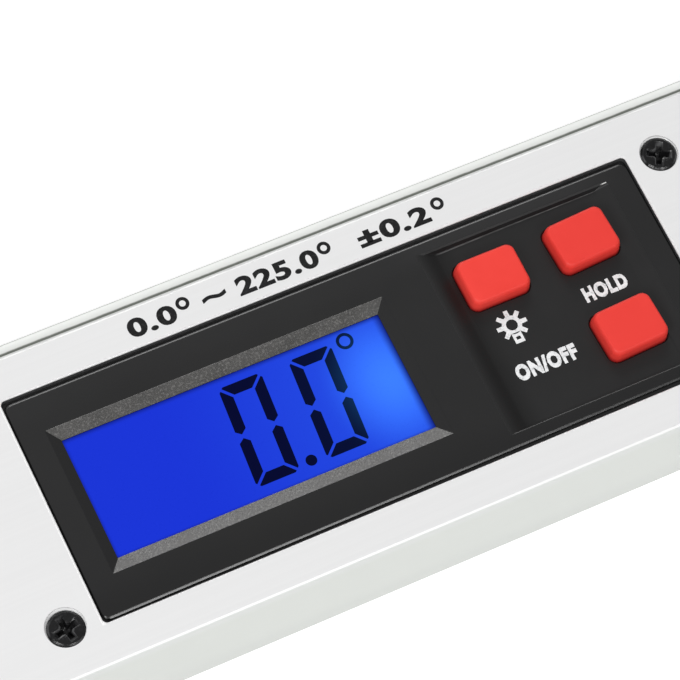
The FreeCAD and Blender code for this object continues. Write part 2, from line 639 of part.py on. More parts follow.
def lock_knob():
    """Round knob with scalloped grip, blind bore for its insert and a seat for its cap."""
    knob = disc(KNOB_RADIUS, (KNOB_Z, KNOB_TOP_Z))
    knob = knob.makeFillet(KNOB_ROUND, level_edges(knob, KNOB_TOP_Z))
    cutters = []
    flute = disc(FLUTE_RADIUS, (KNOB_Z - 1, KNOB_TOP_Z + 1), KNOB_RADIUS + FLUTE_RADIUS / 2)
    for index in range(KNOB_FLUTES):
        cutters.append(turned(flute, 0, 0, 360 * index / KNOB_FLUTES))
    cutters.append(disc(INSERT_RADIUS, (KNOB_Z - 1, STUD_TOP_Z + WASHER_PLAY)))
    cutters.append(disc(KNOB_CAP_RADIUS, (KNOB_TOP_Z - KNOB_CAP, KNOB_TOP_Z + 1)))
    return knob.cut(cutters).removeSplitter()


def knob_insert():
    """Brass insert with the thread, bearing on the washer."""
    z_span = (FACE_Z + KNOB_WASHER + WASHER_PLAY, STUD_TOP_Z)
    return ring(INSERT_RADIUS - THREAD_PLAY, STUD_RADIUS + INSERT_PLAY, z_span)


def knob_cap():
    """Flat metal cap set in the top of the knob."""
    cap = disc(KNOB_CAP_RADIUS - PLUG_GAP, (KNOB_TOP_Z - KNOB_CAP, KNOB_TOP_Z))
    return cap.makeChamfer(KNOB_CAP / 3, level_edges(cap, KNOB_TOP_Z))


# ---- Display module -------------------------------------------------------------------------

def module_outline(z_span):
    """Module's outline inside the electronics box."""
    return block((MODULE_START_X, MODULE_END_X), (FLOOR_Y + PLUG_GAP, CEILING_Y - PLUG_GAP), z_span)


def cavity_spans(gap):
    """X and Y spans of the hollow behind the bezel, smaller by gap."""
    y_span = (BEZEL_BOTTOM_Y + BEZEL_SKIRT + gap, BEZEL_TOP_Y - BEZEL_SKIRT - gap)
    return (BEZEL_LEFT_X + BEZEL_SKIRT + gap, BEZEL_RIGHT_X - BEZEL_SKIRT - gap), y_span


def window_spans():
    """X and Y spans of the screen's visible area."""
    x_span = (WINDOW_LEFT_X + BEVEL_SIDE, WINDOW_RIGHT_X - BEVEL_SIDE)
    return x_span, (WINDOW_BOTTOM_Y + BEVEL_END, WINDOW_TOP_Y - BEVEL_END)


def screen_spans(gap):
    """X and Y spans of the screen, smaller by gap."""
    x_span, y_span = window_spans()
    return grown(x_span, SCREEN_MARGIN - gap), grown(y_span, SCREEN_MARGIN - gap)


def window_cutter():
    """Sloping frame and upright lip of the window, and the pocket for the screen."""
    inner = window_spans()
    bevel_z = FLAT_Z - BEVEL_DROP
    outer = ((WINDOW_LEFT_X, WINDOW_RIGHT_X), (WINDOW_BOTTOM_Y, WINDOW_TOP_Y))
    slope = flare(inner, bevel_z, outer, FLAT_Z)
    mouth = block(outer[0], outer[1], (FLAT_Z, FLAT_Z + 1))
    lip = block(inner[0], inner[1], (SCREEN_FRONT_Z - 1, bevel_z))
    pocket_x, pocket_y = screen_spans(0)
    pocket = block(pocket_x, pocket_y, (UNDERSIDE_Z - 1, SCREEN_FRONT_Z))
    return [slope, mouth, lip, pocket]


def pad_cutter():
    """Sunken pad with ramps left and right and steps above and below."""
    high = FLAT_Z + 1
    points = [(PAD_LEFT_X, high), (PAD_LEFT_X, FLAT_Z), (PAD_LEFT_X + PAD_RAMP, PAD_Z),
              (PAD_RIGHT_X - PAD_RAMP, PAD_Z), (PAD_RIGHT_X, FLAT_Z), (PAD_RIGHT_X, high)]
    corners = [Vector(x, PAD_BOTTOM_Y, z) for x, z in points]
    face = Part.Face(Part.makePolygon(corners + corners[:1]))
    return face.extrude(Vector(0, PAD_HEIGHT, 0))


def button_places():
    """Name, X, Y and twist of the three buttons."""
    return [("light_button", LEFT_BUTTON_X, UPPER_BUTTON_Y, LIGHT_TWIST),
            ("hold_button", RIGHT_BUTTON_X, UPPER_BUTTON_Y, HOLD_TWIST),
            ("power_button", RIGHT_BUTTON_X, LOWER_BUTTON_Y, POWER_TWIST)]


def button_block(x, y, z_span, extra, corner):
    """Button's outline about x, y, larger by extra all round."""
    half_x = BUTTON_WIDTH / 2 + extra
    half_y = BUTTON_HEIGHT / 2 + extra
    return rounded_block((x - half_x, x + half_x), (y - half_y, y + half_y), z_span, corner)


def button(x, y, twist):
    """Button cap with the flange that keeps it under the bezel."""
    cap = button_block(x, y, (LIP_REAR_Z, BUTTON_TOP_Z), 0, BUTTON_CORNER)
    cap = cap.makeFillet(BUTTON_ROUND, level_edges(cap, BUTTON_TOP_Z))
    lip = button_block(x, y, (LIP_REAR_Z, LIP_TOP_Z), BUTTON_LIP, BUTTON_CORNER)
    return turned(cap.fuse(lip).removeSplitter(), x, y, twist)


def display_bezel():
    """Bezel with its plug in the face's cut-out, ears behind the face and a hollow back."""
    body = module_outline((BOARD_REAR_Z, INSIDE_FRONT_Z))
    plug = rounded_block((BEZEL_LEFT_X + BEZEL_GAP, BEZEL_RIGHT_X - BEZEL_GAP),
                         (BEZEL_BOTTOM_Y + BEZEL_GAP, BEZEL_TOP_Y - BEZEL_GAP),
                         (INSIDE_FRONT_Z - 1, FLAT_Z), BEZEL_CORNER - BEZEL_GAP)
    hollow_x, hollow_y = cavity_spans(0)
    hollow = block(hollow_x, hollow_y, (BOARD_REAR_Z - 1, UNDERSIDE_Z))
    bezel = body.fuse(plug).cut([hollow, pad_cutter()] + window_cutter())
    holes = [button_block(x, y, (UNDERSIDE_Z - 1, FLAT_Z + 1), BUTTON_PLAY, BUTTON_CORNER + BUTTON_PLAY)
             for _, x, y, _ in button_places()]
    face_span = (FACE_Z - M3_HEAD_DROP - M3_LENGTH - THREAD_PLAY, FACE_Z)
    holes += [disc(M3_RADIUS + THREAD_PLAY, face_span, x, y) for x, y in face_screw_places()]
    rear_span = (BOARD_REAR_Z - 1, MODULE_REAR_Z + SMALL_SCREW_LENGTH + THREAD_PLAY)
    holes += [disc(SMALL_SCREW_RADIUS + THREAD_PLAY, rear_span, x, y) for x, y in module_screw_places()]
    return bezel.cut(holes).removeSplitter()


def screen():
    """Liquid crystal screen behind the window."""
    x_span, y_span = screen_spans(PLUG_GAP)
    return block(x_span, y_span, (SCREEN_REAR_Z, SCREEN_FRONT_Z))


def backlight():
    """Light guide between the screen and the board."""
    x_span, y_span = screen_spans(PLUG_GAP)
    return block(x_span, y_span, (BOARD_FRONT_Z, SCREEN_REAR_Z))


def main_board():
    """Circuit board on the module's back."""
    x_span, y_span = cavity_spans(BOARD_GAP)
    return block(x_span, y_span, (BOARD_REAR_Z, BOARD_FRONT_Z))


def button_switches():
    """Switch with a round plunger under each button."""
    half = SWITCH_SIDE / 2
    body_top = BOARD_FRONT_Z + SWITCH_BODY
    switches = []
    for _, x, y, _ in button_places():
        body = block((x - half, x + half), (y - half, y + half), (BOARD_FRONT_Z, body_top))
        plunger = disc(SWITCH_PLUNGER_RADIUS, (body_top, PLUNGER_TOP_Z), x, y)
        switches.append(body.fuse(plunger).removeSplitter())
    return Part.makeCompound(switches)


def ribbon_notch():
    """Hole in the module's back where the ribbon comes through."""
    x = BEZEL_LEFT_X + RIBBON_REACH
    half = RIBBON_WIDTH / 2 + RIBBON
    return block((x - RIBBON, x + RIBBON), (-half, half), (MODULE_REAR_Z - 1, BOARD_REAR_Z + 1))


def lead_rows():
    """Y of the two battery leads."""
    return [BOX_MIDDLE_Y - LEAD_PITCH / 2, BOX_MIDDLE_Y + LEAD_PITCH / 2]


def lead_x():
    """X where the battery leads go through the module's back."""
    return BEZEL_RIGHT_X - RIBBON_REACH


def module_back():
    """Back plate of the module."""
    plate = module_outline((MODULE_REAR_Z, BOARD_REAR_Z))
    cutters = [moved(flipped(small_seat()), x, y, MODULE_REAR_Z) for x, y in module_screw_places()]
    through = (MODULE_REAR_Z - 1, BOARD_REAR_Z + 1)
    cutters += [disc(LEAD_RADIUS + RIBBON_PLAY, through, lead_x(), y) for y in lead_rows()]
    cutters.append(ribbon_notch())
    return plate.cut(cutters).removeSplitter()


def module_screws():
    """Two screws that hold the back plate to the bezel's ears."""
    screw = flipped(small_screw())
    return Part.makeCompound([moved(screw, x, y, MODULE_REAR_Z) for x, y in module_screw_places()])


def face_screws():
    """Four screws through the face into the bezel's ears."""
    return Part.makeCompound([moved(m3_screw(), x, y, FACE_Z) for x, y in face_screw_places()])


def end_cap_screws():
    """Two screws through the back into the end cap's plug."""
    return Part.makeCompound([moved(flipped(m3_screw()), x, y, 0) for x, y in cap_screw_places()])


def ribbon_z():
    """Height of the ribbon in its groove in the front wall."""
    return INSIDE_FRONT_Z + RIBBON_PLAY + RIBBON / 2


def ribbon_groove():
    """Groove in the front wall that takes the ribbon over the turning knuckle."""
    half = RIBBON_WIDTH / 2 + RIBBON_PLAY
    depth = (INSIDE_FRONT_Z - 1, INSIDE_FRONT_Z + RIBBON + 2 * RIBBON_PLAY)
    return block((BOSS_RADIUS + SENSOR_SIDE_GAP, MODULE_START_X), (-half, half), depth)


def sensor_ribbon():
    """Ribbon from the sensor, along the front wall and behind the module to the board."""
    fold_x = MODULE_START_X - RIBBON_REACH / 3
    board_x = BEZEL_LEFT_X + RIBBON_REACH
    points = [((BOSS_RADIUS + SENSOR_OUTER) / 2, ribbon_z()), (fold_x, ribbon_z()), (fold_x, WIRE_Z),
              (board_x, WIRE_Z), (board_x, BOARD_REAR_Z - RIBBON / 2)]
    return bent_strip(points, RIBBON, (-RIBBON_WIDTH / 2, RIBBON_WIDTH / 2))


# ---- Battery --------------------------------------------------------------------------------

def cell_cavity(z_span):
    """Space for the cells and their contacts, as seen through the back."""
    return block((CAVITY_START_X, CAVITY_END_X), (CAVITY_LOW_Y, CAVITY_HIGH_Y), z_span)


def battery_box():
    """Tray that holds the cells, open to the back."""
    outer = block((BATTERY_START_X, BATTERY_END_X), grown((CAVITY_LOW_Y, CAVITY_HIGH_Y), BOX_WALL),
                  (REAR_WALL, CAVITY_TOP_Z + BOX_WALL))
    return outer.cut(cell_cavity((REAR_WALL - 1, CAVITY_TOP_Z)))


def cell_rows():
    """Y of the two cells and +1 or -1 for the way that each points."""
    return [(BOX_MIDDLE_Y - CELL_OFFSET_Y, 1), (BOX_MIDDLE_Y + CELL_OFFSET_Y, -1)]


def batteries():
    """Two AAA cells that point opposite ways."""
    cells = []
    low = CAVITY_START_X + CONTACT
    high = CAVITY_END_X - CONTACT
    barrel_length = CELL_LENGTH - NUB_LENGTH
    for y, way in cell_rows():
        tip = high if way > 0 else low
        barrel_middle = tip - way * (NUB_LENGTH + barrel_length / 2)
        barrel = rod(CELL_RADIUS, barrel_length, (barrel_middle, y, CELL_Z), ALONG_X)
        nub = rod(NUB_RADIUS, NUB_LENGTH, (tip - way * NUB_LENGTH / 2, y, CELL_Z), ALONG_X)
        cells.append(barrel.fuse(nub).removeSplitter())
    return Part.makeCompound(cells)


def battery_contacts():
    """Plate and tapered spring at each end of each cell."""
    pieces = []
    half = CELL_RADIUS * 0.8
    for y, way in cell_rows():
        ends = (CAVITY_END_X, CAVITY_START_X) if way > 0 else (CAVITY_START_X, CAVITY_END_X)
        for wall_x in ends:
            inward = -1 if wall_x == CAVITY_END_X else 1
            x_span = (min(wall_x, wall_x + inward * CONTACT), max(wall_x, wall_x + inward * CONTACT))
            plate = block(x_span, (y - half, y + half), (CELL_Z - half, CELL_Z + half))
            if wall_x == ends[1]:
                base = Vector(wall_x + inward * CONTACT, y, CELL_Z)
                way_in = Vector(inward, 0, 0)
                spring = Part.makeCone(SPRING_RADIUS, SPRING_RADIUS / 2, SPRING_SPACE, base, way_in)
                plate = plate.fuse(spring)
            pieces.append(plate)
    return Part.makeCompound(pieces)


def battery_leads():
    """Two leads from the battery box to the board."""
    wires = []
    for y in lead_rows():
        points = [(BATTERY_START_X, WIRE_Z), (lead_x(), WIRE_Z), (lead_x(), BOARD_REAR_Z)]
        wires.append(bent_wire(points, LEAD_RADIUS, y))
    return Part.makeCompound(wires)


def battery_door():
    """Door flush in the back, with a round hinge end and two pins."""
    y_span = grown((CAVITY_LOW_Y, CAVITY_HIGH_Y), -DOOR_GAP)
    latch_end_x = CAVITY_START_X + DOOR_GAP
    plate = block((latch_end_x, DOOR_AXIS_X), y_span, (DOOR_RECESS, REAR_WALL))
    round_end = rod(DOOR_HALF, y_span[1] - y_span[0], DOOR_AXIS_POINT, ALONG_Y)
    pins = rod(DOOR_PIN_RADIUS, CAVITY_WIDTH + 2 * DOOR_PIN_LENGTH, DOOR_AXIS_POINT, ALONG_Y)
    notch = disc(NOTCH_RADIUS, (DOOR_RECESS - 1, DOOR_RECESS + NOTCH_DEPTH), latch_end_x, BOX_MIDDLE_Y)
    return plate.fuse([round_end, pins]).cut(notch).removeSplitter()


# ---- Spirit vials ---------------------------------------------------------------------------

def vial_frame(window, centre_x, half_x, half_y, axis, length):
    """Frame through the arm, open front and back beside the tube."""
    through = (FRAME_RECESS, BODY_DEPTH - FRAME_RECESS)
    x_span = (centre_x - half_x, centre_x + half_x)
    y_span = (BOX_MIDDLE_Y - half_y, BOX_MIDDLE_Y + half_y)
    frame = window.common(block(grown(x_span, BODY_DEPTH), grown(y_span, BODY_DEPTH), through))
    opening = block(x_span, y_span, (-1, BODY_DEPTH + 1))
    wide = (grown(x_span, FRAME_BEVEL), grown(y_span, FRAME_BEVEL))
    narrow = (x_span, y_span)
    front = flare(narrow, through[1] - FRAME_BEVEL, wide, through[1])
    back = flare(wide, through[0], narrow, through[0] + FRAME_BEVEL)
    socket = rod(VIAL_RADIUS + VIAL_FIT, length + 2 * VIAL_FIT, (centre_x, BOX_MIDDLE_Y, VIAL_Z), axis)
    return frame.cut([opening, front, back, socket]).removeSplitter()


def vial_tube(centre_x, axis, length):
    """Clear tube with closed ends."""
    centre = (centre_x, BOX_MIDDLE_Y, VIAL_Z)
    hollow = rod(VIAL_RADIUS - VIAL_WALL, length - 2 * VIAL_SOCKET, centre, axis)
    return rod(VIAL_RADIUS, length, centre, axis).cut(hollow)


def vial_liquid(centre_x, axis, length):
    """Liquid with a long bubble under the top of the tube."""
    centre = (centre_x, BOX_MIDDLE_Y, VIAL_Z)
    radius = VIAL_RADIUS - VIAL_WALL - VIAL_FIT
    liquid = rod(radius, length - 2 * VIAL_SOCKET - 2 * VIAL_FIT, centre, axis)
    middle = Vector(centre_x, BOX_MIDDLE_Y, VIAL_Z + radius - BUBBLE_RADIUS * 1.1)
    half = Vector(axis) * (BUBBLE_LENGTH / 2 - BUBBLE_RADIUS)
    bubble = rod(BUBBLE_RADIUS, BUBBLE_LENGTH - 2 * BUBBLE_RADIUS, middle, axis)
    ends = [Part.makeSphere(BUBBLE_RADIUS, middle + half), Part.makeSphere(BUBBLE_RADIUS, middle - half)]
    return liquid.cut(bubble.fuse(ends).removeSplitter())


def level_frame():
    """Frame of the vial along the arm."""
    window = vial_windows(PLUG_GAP)[0]
    half_x = LEVEL_VIAL_LENGTH / 2 - VIAL_SOCKET
    half_y = VIAL_RADIUS + WINDOW_PLAY
    return vial_frame(window, LEVEL_X, half_x, half_y, ALONG_X, LEVEL_VIAL_LENGTH)


def plumb_frame():
    """Frame of the vial across the arm."""
    window = vial_windows(PLUG_GAP)[1]
    half_x = VIAL_RADIUS + WINDOW_PLAY
    half_y = PLUMB_VIAL_LENGTH / 2 - VIAL_SOCKET
    return vial_frame(window, PLUMB_X, half_x, half_y, ALONG_Y, PLUMB_VIAL_LENGTH)


# ---- Output ---------------------------------------------------------------------------------

def save(name, shape):
    """Write one node with the origin under the middle of the closed tool."""
    moved(shape, ORIGIN_SHIFT, 0, 0).exportStep(os.path.join("parts", name + ".step"))


def main():
    """Build and write every node."""
    os.makedirs("parts", exist_ok=True)
    nodes = [base_arm, base_end_cap, end_cap_screws, hub_bulkhead, folding_arm, folding_arm_end_cap,
             arm_knuckle, knuckle_bushing, knuckle_screws, sensor_rotor, sensor_stator, sensor_ribbon,
             pivot_axle, rear_friction_washer, front_friction_washer, knob_washer, lock_knob, knob_insert,
             knob_cap, display_bezel, screen, backlight, main_board, button_switches, module_back,
             module_screws, face_screws, battery_box, batteries, battery_contacts, battery_leads,
             battery_door, level_frame, plumb_frame]
    for build in nodes:
        save(build.__name__, build())
    for name, x, y, twist in button_places():
        save(name, button(x, y, twist))
    vials = [("level", LEVEL_X, ALONG_X, LEVEL_VIAL_LENGTH), ("plumb", PLUMB_X, ALONG_Y, PLUMB_VIAL_LENGTH)]
    for name, x, axis, length in vials:
        save(name + "_vial", vial_tube(x, axis, length))
        save(name + "_liquid", vial_liquid(x, axis, length))


main()
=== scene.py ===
"""Digital angle finder with two arms: its finished look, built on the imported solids.

The closed tool lies on its back along X. The pivot is at the low end, the display faces up and Z is 0
at the back. Lengths in the classes are millimetres in that frame, and meshes are turned into metres
as they are finished.
"""

from __future__ import annotations

import json
import logging
import math
from dataclasses import dataclass, field, replace
from enum import Enum
from typing import Any, Iterable, Optional, Sequence, Union

import bmesh
import bpy
from mathutils import Matrix, Vector, noise

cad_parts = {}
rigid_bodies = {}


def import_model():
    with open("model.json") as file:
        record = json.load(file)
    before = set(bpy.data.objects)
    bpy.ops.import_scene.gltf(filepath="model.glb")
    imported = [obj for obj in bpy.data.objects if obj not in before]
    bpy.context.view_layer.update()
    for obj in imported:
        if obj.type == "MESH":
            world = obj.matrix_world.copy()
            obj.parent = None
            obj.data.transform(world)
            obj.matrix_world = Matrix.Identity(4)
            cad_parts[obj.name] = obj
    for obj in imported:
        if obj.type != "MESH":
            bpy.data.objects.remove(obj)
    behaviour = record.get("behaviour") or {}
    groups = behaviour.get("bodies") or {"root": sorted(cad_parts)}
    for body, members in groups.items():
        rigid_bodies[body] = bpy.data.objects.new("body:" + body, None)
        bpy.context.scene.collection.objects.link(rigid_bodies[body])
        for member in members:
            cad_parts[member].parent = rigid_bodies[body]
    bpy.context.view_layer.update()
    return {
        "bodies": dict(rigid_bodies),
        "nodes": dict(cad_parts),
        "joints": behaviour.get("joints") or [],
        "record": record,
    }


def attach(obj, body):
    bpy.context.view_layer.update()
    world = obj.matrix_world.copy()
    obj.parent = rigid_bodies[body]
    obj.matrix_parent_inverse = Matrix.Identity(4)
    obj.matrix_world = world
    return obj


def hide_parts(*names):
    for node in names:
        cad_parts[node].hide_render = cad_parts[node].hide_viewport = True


log = logging.getLogger("angle_finder")

MM = 0.001

INK_THICKNESS = 0.02
FRAY_SEED = 7
FRAY_STEP = 0.12
DIAGONAL = 0.7071
BEZEL_CORNER = (-125.2, 16.49)
CLOUD_BAND = (0.3, 0.7)
FILM_GRAIN = 2600.0

Colour = tuple[float, float, float]
Point2 = tuple[float, float]
Point3 = tuple[float, float, float]
Box = tuple[float, float, float, float]
Band = tuple[Point2, Point2]
Outline = list[Point2]
Ring = list[bmesh.types.BMVert]
Term = Union[float, "Value"]
Shade = Union[Colour, bpy.types.NodeSocket]
Settings = Optional[dict[str, Any]]
Sockets = Optional[dict[Union[int, str], Any]]


# ---- Names ----

class Body(Enum):
    """Bodies of the tool that pieces ride on."""

    BASE = "base"
    FOLDING_ARM = "folding_arm"
    LOCK_KNOB = "lock_knob"
    LIGHT_BUTTON = "light_button"
    HOLD_BUTTON = "hold_button"
    POWER_BUTTON = "power_button"
    BATTERY_DOOR = "battery_door"


class Slot(Enum):
    """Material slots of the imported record."""

    PAINTED_ALUMINIUM = "painted_aluminium"
    SATIN_ALUMINIUM = "satin_aluminium"
    BLACK_PLASTIC = "black_plastic"
    BEZEL_PLASTIC = "bezel_plastic"
    BLACK_STEEL = "black_steel"
    STEEL = "steel"
    BRONZE = "bronze"
    BRASS = "brass"
    NYLON = "nylon"
    CIRCUIT_BOARD = "circuit_board"
    RIBBON_FILM = "ribbon_film"
    SCREEN_BLUE = "screen_blue"
    LIGHT_GUIDE = "light_guide"
    RED_PLASTIC = "red_plastic"
    CELL_JACKET = "cell_jacket"
    LEAD_INSULATION = "lead_insulation"
    CLEAR_ACRYLIC = "clear_acrylic"
    VIAL_LIQUID = "vial_liquid"


class Axis(Enum):
    """Direction that a vial lies along."""

    X = 0
    Y = 1


# ---- Node wiring ----

class Value:
    """A number that comes out of a node; Python arithmetic on it adds Math nodes."""

    def __init__(self, wiring: Wiring, socket: bpy.types.NodeSocket) -> None:
        """Keeps the socket and the tree it belongs to."""
        self.wiring = wiring
        self.socket = socket

    def _math(self, operation: str, *terms: Term) -> Value:
        """Adds one Math node over the terms."""
        return self.wiring.value("ShaderNodeMath", {"operation": operation}, dict(enumerate(terms)))

    def __add__(self, other: Term) -> Value:
        """Sum."""
        return self._math("ADD", self, other)

    __radd__ = __add__

    def __mul__(self, other: Term) -> Value:
        """Product."""
        return self._math("MULTIPLY", self, other)

    __rmul__ = __mul__

    def __sub__(self, other: Term) -> Value:
        """Difference."""
        return self._math("SUBTRACT", self, other)

    def __rsub__(self, other: Term) -> Value:
        """Difference with the number first."""
        return self._math("SUBTRACT", other, self)

    def __truediv__(self, other: Term) -> Value:
        """Quotient."""
        return self._math("DIVIDE", self, other)

    def __rtruediv__(self, other: Term) -> Value:
        """Quotient with the number first."""
        return self._math("DIVIDE", other, self)

    def __pow__(self, other: Term) -> Value:
        """Power."""
        return self._math("POWER", self, other)

    def __rpow__(self, other: Term) -> Value:
        """Power of the number."""
        return self._math("POWER", other, self)

    def least(self, other: Term) -> Value:
        """Smaller of the two."""
        return self._math("MINIMUM", self, other)

    def size(self) -> Value:
        """Value without its sign."""
        return self._math("ABSOLUTE", self)

    def within(self, band: Band) -> Value:
        """1 inside a band and 0 outside it, eased over where it starts and where it ends."""
        return self.eased(*band[0]) * self.eased(*band[1])

    def eased(self, low: float, high: float) -> Value:
        """Smooth step from 0 at low to 1 at high.

        Args:
            low: value that gives 0.
            high: value that gives 1; it may be below low.

        Returns:
            The eased value, between 0 and 1.
        """
        start, end = min(low, high), max(low, high)
        step = self.wiring.value("ShaderNodeMapRange", {"interpolation_type": "SMOOTHSTEP"},
                                 {0: self, 1: start, 2: end, 3: 0.0, 4: 1.0})
        return step if high >= low else 1 - step


class Wiring:
    """A node tree under construction."""

    def __init__(self, tree: bpy.types.NodeTree) -> None:
        """Keeps the tree that nodes are added to."""
        self.tree = tree

    def node(self, kind: str, settings: Settings = None, sockets: Sockets = None) -> bpy.types.Node:
        """Adds one node.

        Args:
            kind: node type.
            settings: node properties, set first.
            sockets: values or links of its inputs, by name or number.

        Returns:
            The new node.
        """
        made = self.tree.nodes.new(kind)
        for key, value in (settings or {}).items():
            setattr(made, key, value)
        for key, value in (sockets or {}).items():
            target = made.inputs[key]
            if isinstance(value, Value):
                self.tree.links.new(value.socket, target)
            elif isinstance(value, bpy.types.NodeSocket):
                self.tree.links.new(value, target)
            elif target.type == "RGBA" and len(value) == 3:
                target.default_value = (*value, 1.0)
            else:
                target.default_value = value
        return made

    def value(self, kind: str, settings: Settings = None, sockets: Sockets = None,
              output: Union[int, str] = 0) -> Value:
        """Adds one node and gives one of its outputs as a Value."""
        return Value(self, self.node(kind, settings, sockets).outputs[output])

    def rays(self, *kinds: str) -> Value:
        """Tells some kinds of ray from the rest.

        Args:
            kinds: first words of the kinds, as the node names them.

        Returns:
            1 for these rays and 0 for the others.
        """
        path = self.node("ShaderNodeLightPath")
        found = [Value(self, path.outputs[f"Is {kind} Ray"]) for kind in kinds]
        return sum(found[1:], found[0]).least(1.0)


class Paint(Wiring):
    """The shader tree of one material."""

    def __init__(self, name: str) -> None:
        """Starts an empty material.

        Args:
            name: the material's name.
        """
        self.material = bpy.data.materials.new(name)
        self.material.use_nodes = True
        super().__init__(self.material.node_tree)
        self.tree.nodes.clear()
        self.place = self.node("ShaderNodeTexCoord").outputs["Object"]

    def stretched(self, scale: Colour) -> bpy.types.NodeSocket:
        """Object coordinates with their own scale on each axis."""
        return self.node("ShaderNodeMapping", None, {"Vector": self.place, "Scale": scale}).outputs[0]

    def noise(self, scale: float, detail: float = 2.0, roughness: float = 0.5,
              vector: Optional[bpy.types.NodeSocket] = None) -> Value:
        """Noise over the object's own coordinates.

        Args:
            scale: features per metre, or per unit of vector.
            detail: number of finer layers.
            roughness: strength of the finer layers.
            vector: coordinates to read in place of the object's own.

        Returns:
            The noise, about 0.5.
        """
        return self.value("ShaderNodeTexNoise", None,
                          {"Vector": vector or self.place, "Scale": scale, "Detail": detail,
                           "Roughness": roughness})

    def coordinate(self, axis: str) -> Value:
        """One of the object's coordinates, in millimetres."""
        return self.value("ShaderNodeSeparateXYZ", None, {0: self.place}, axis) * (1 / MM)

    def blend(self, share: Term, first: Shade, second: Shade) -> bpy.types.NodeSocket:
        """Mixes two colours, with a share of the second from 0 to 1."""
        mixed = self.node("ShaderNodeMix", {"data_type": "RGBA"}, {0: share, 6: first, 7: second})
        return mixed.outputs[2]

    def bump(self, height: Value, relief: float) -> bpy.types.NodeSocket:
        """Turns a height from 0 to 1 into a normal; the relief is its depth in metres."""
        return self.node("ShaderNodeBump", None, {"Height": height, "Distance": relief}).outputs[0]

    def finish(self, sockets: dict[str, Any]) -> bpy.types.Material:
        """Ends the tree in a Principled shader.

        Args:
            sockets: the shader's inputs, by name.

        Returns:
            The finished material.
        """
        shader = self.node("ShaderNodeBsdfPrincipled", None, sockets)
        self.node("ShaderNodeOutputMaterial", None, {"Surface": shader.outputs[0]})
        return self.material


# ---- Finishes ----

@dataclass(frozen=True)
class Coating:
    """A named material that is built once and then shared."""

    name: str

    def material(self) -> bpy.types.Material:
        """Gives the material, and builds it the first time."""
        return bpy.data.materials.get(self.name) or self._build()

    def _build(self) -> bpy.types.Material:
        """Builds the material, as each kind of coating does in its own way."""
        raise NotImplementedError


@dataclass(frozen=True)
class Finish(Coating):
    """A solid surface with clouds, grain, streaks and scuffs."""

    colour: Colour
    clouded: Colour
    roughness: Point2 = (0.35, 0.5)
    metallic: float = 0.0
    specular: float = 0.5
    cloud_scale: float = 60.0
    grain_scale: float = 2500.0
    grain_relief: float = 4e-6
    streaks: Optional[Colour] = None
    streak_share: float = 0.5
    fleck: Optional[Colour] = None
    fleck_scale: float = 1800.0
    fleck_share: float = 0.3
    fleck_band: Point2 = (0.5, 0.72)
    coat: float = 0.0
    coat_roughness: float = 0.18
    scuffs: float = 0.25
    scuff_band: Point2 = (0.56, 0.72)
    scuff_roughness: float = 0.12

    def _build(self) -> bpy.types.Material:
        """Wires the clouds, the grain and the scuffs.

        Returns:
            The material.
        """
        paint = Paint(self.name)
        cloud = paint.noise(self.cloud_scale, detail=4.0, roughness=0.6)
        grain = paint.noise(self.grain_scale, detail=3.0, roughness=0.65)
        height = grain
        tone = cloud.eased(*CLOUD_BAND)
        if self.streaks:
            lines = paint.noise(1.0, detail=3.0, roughness=0.6, vector=paint.stretched(self.streaks))
            height = grain * (1 - self.streak_share) + lines * self.streak_share
            tone = tone * 0.5 + lines.eased(*CLOUD_BAND) * 0.5
        colour = paint.blend(tone, self.colour, self.clouded)
        if self.fleck:
            spots = paint.noise(self.fleck_scale, detail=1.0).eased(*self.fleck_band)
            colour = paint.blend(spots * self.fleck_share, colour, self.fleck)
        scuffed = paint.noise(self.cloud_scale * 4, detail=5.0, roughness=0.7).eased(*self.scuff_band)
        low, high = self.roughness
        rough = low + (high - low) * (tone * 0.5 + grain * 0.5) + scuffed * self.scuffs * self.scuff_roughness
        return paint.finish({
            "Base Color": self._placed(paint, colour), "Roughness": rough, "Metallic": self.metallic,
            "Specular IOR Level": self.specular, "Coat Weight": self.coat,
            "Coat Roughness": self.coat_roughness, "Normal": paint.bump(height, self.grain_relief)})

    def _placed(self, paint: Paint, colour: Shade) -> Shade:
        """Gives the colour with what belongs to one place on the piece; nothing here."""
        return colour


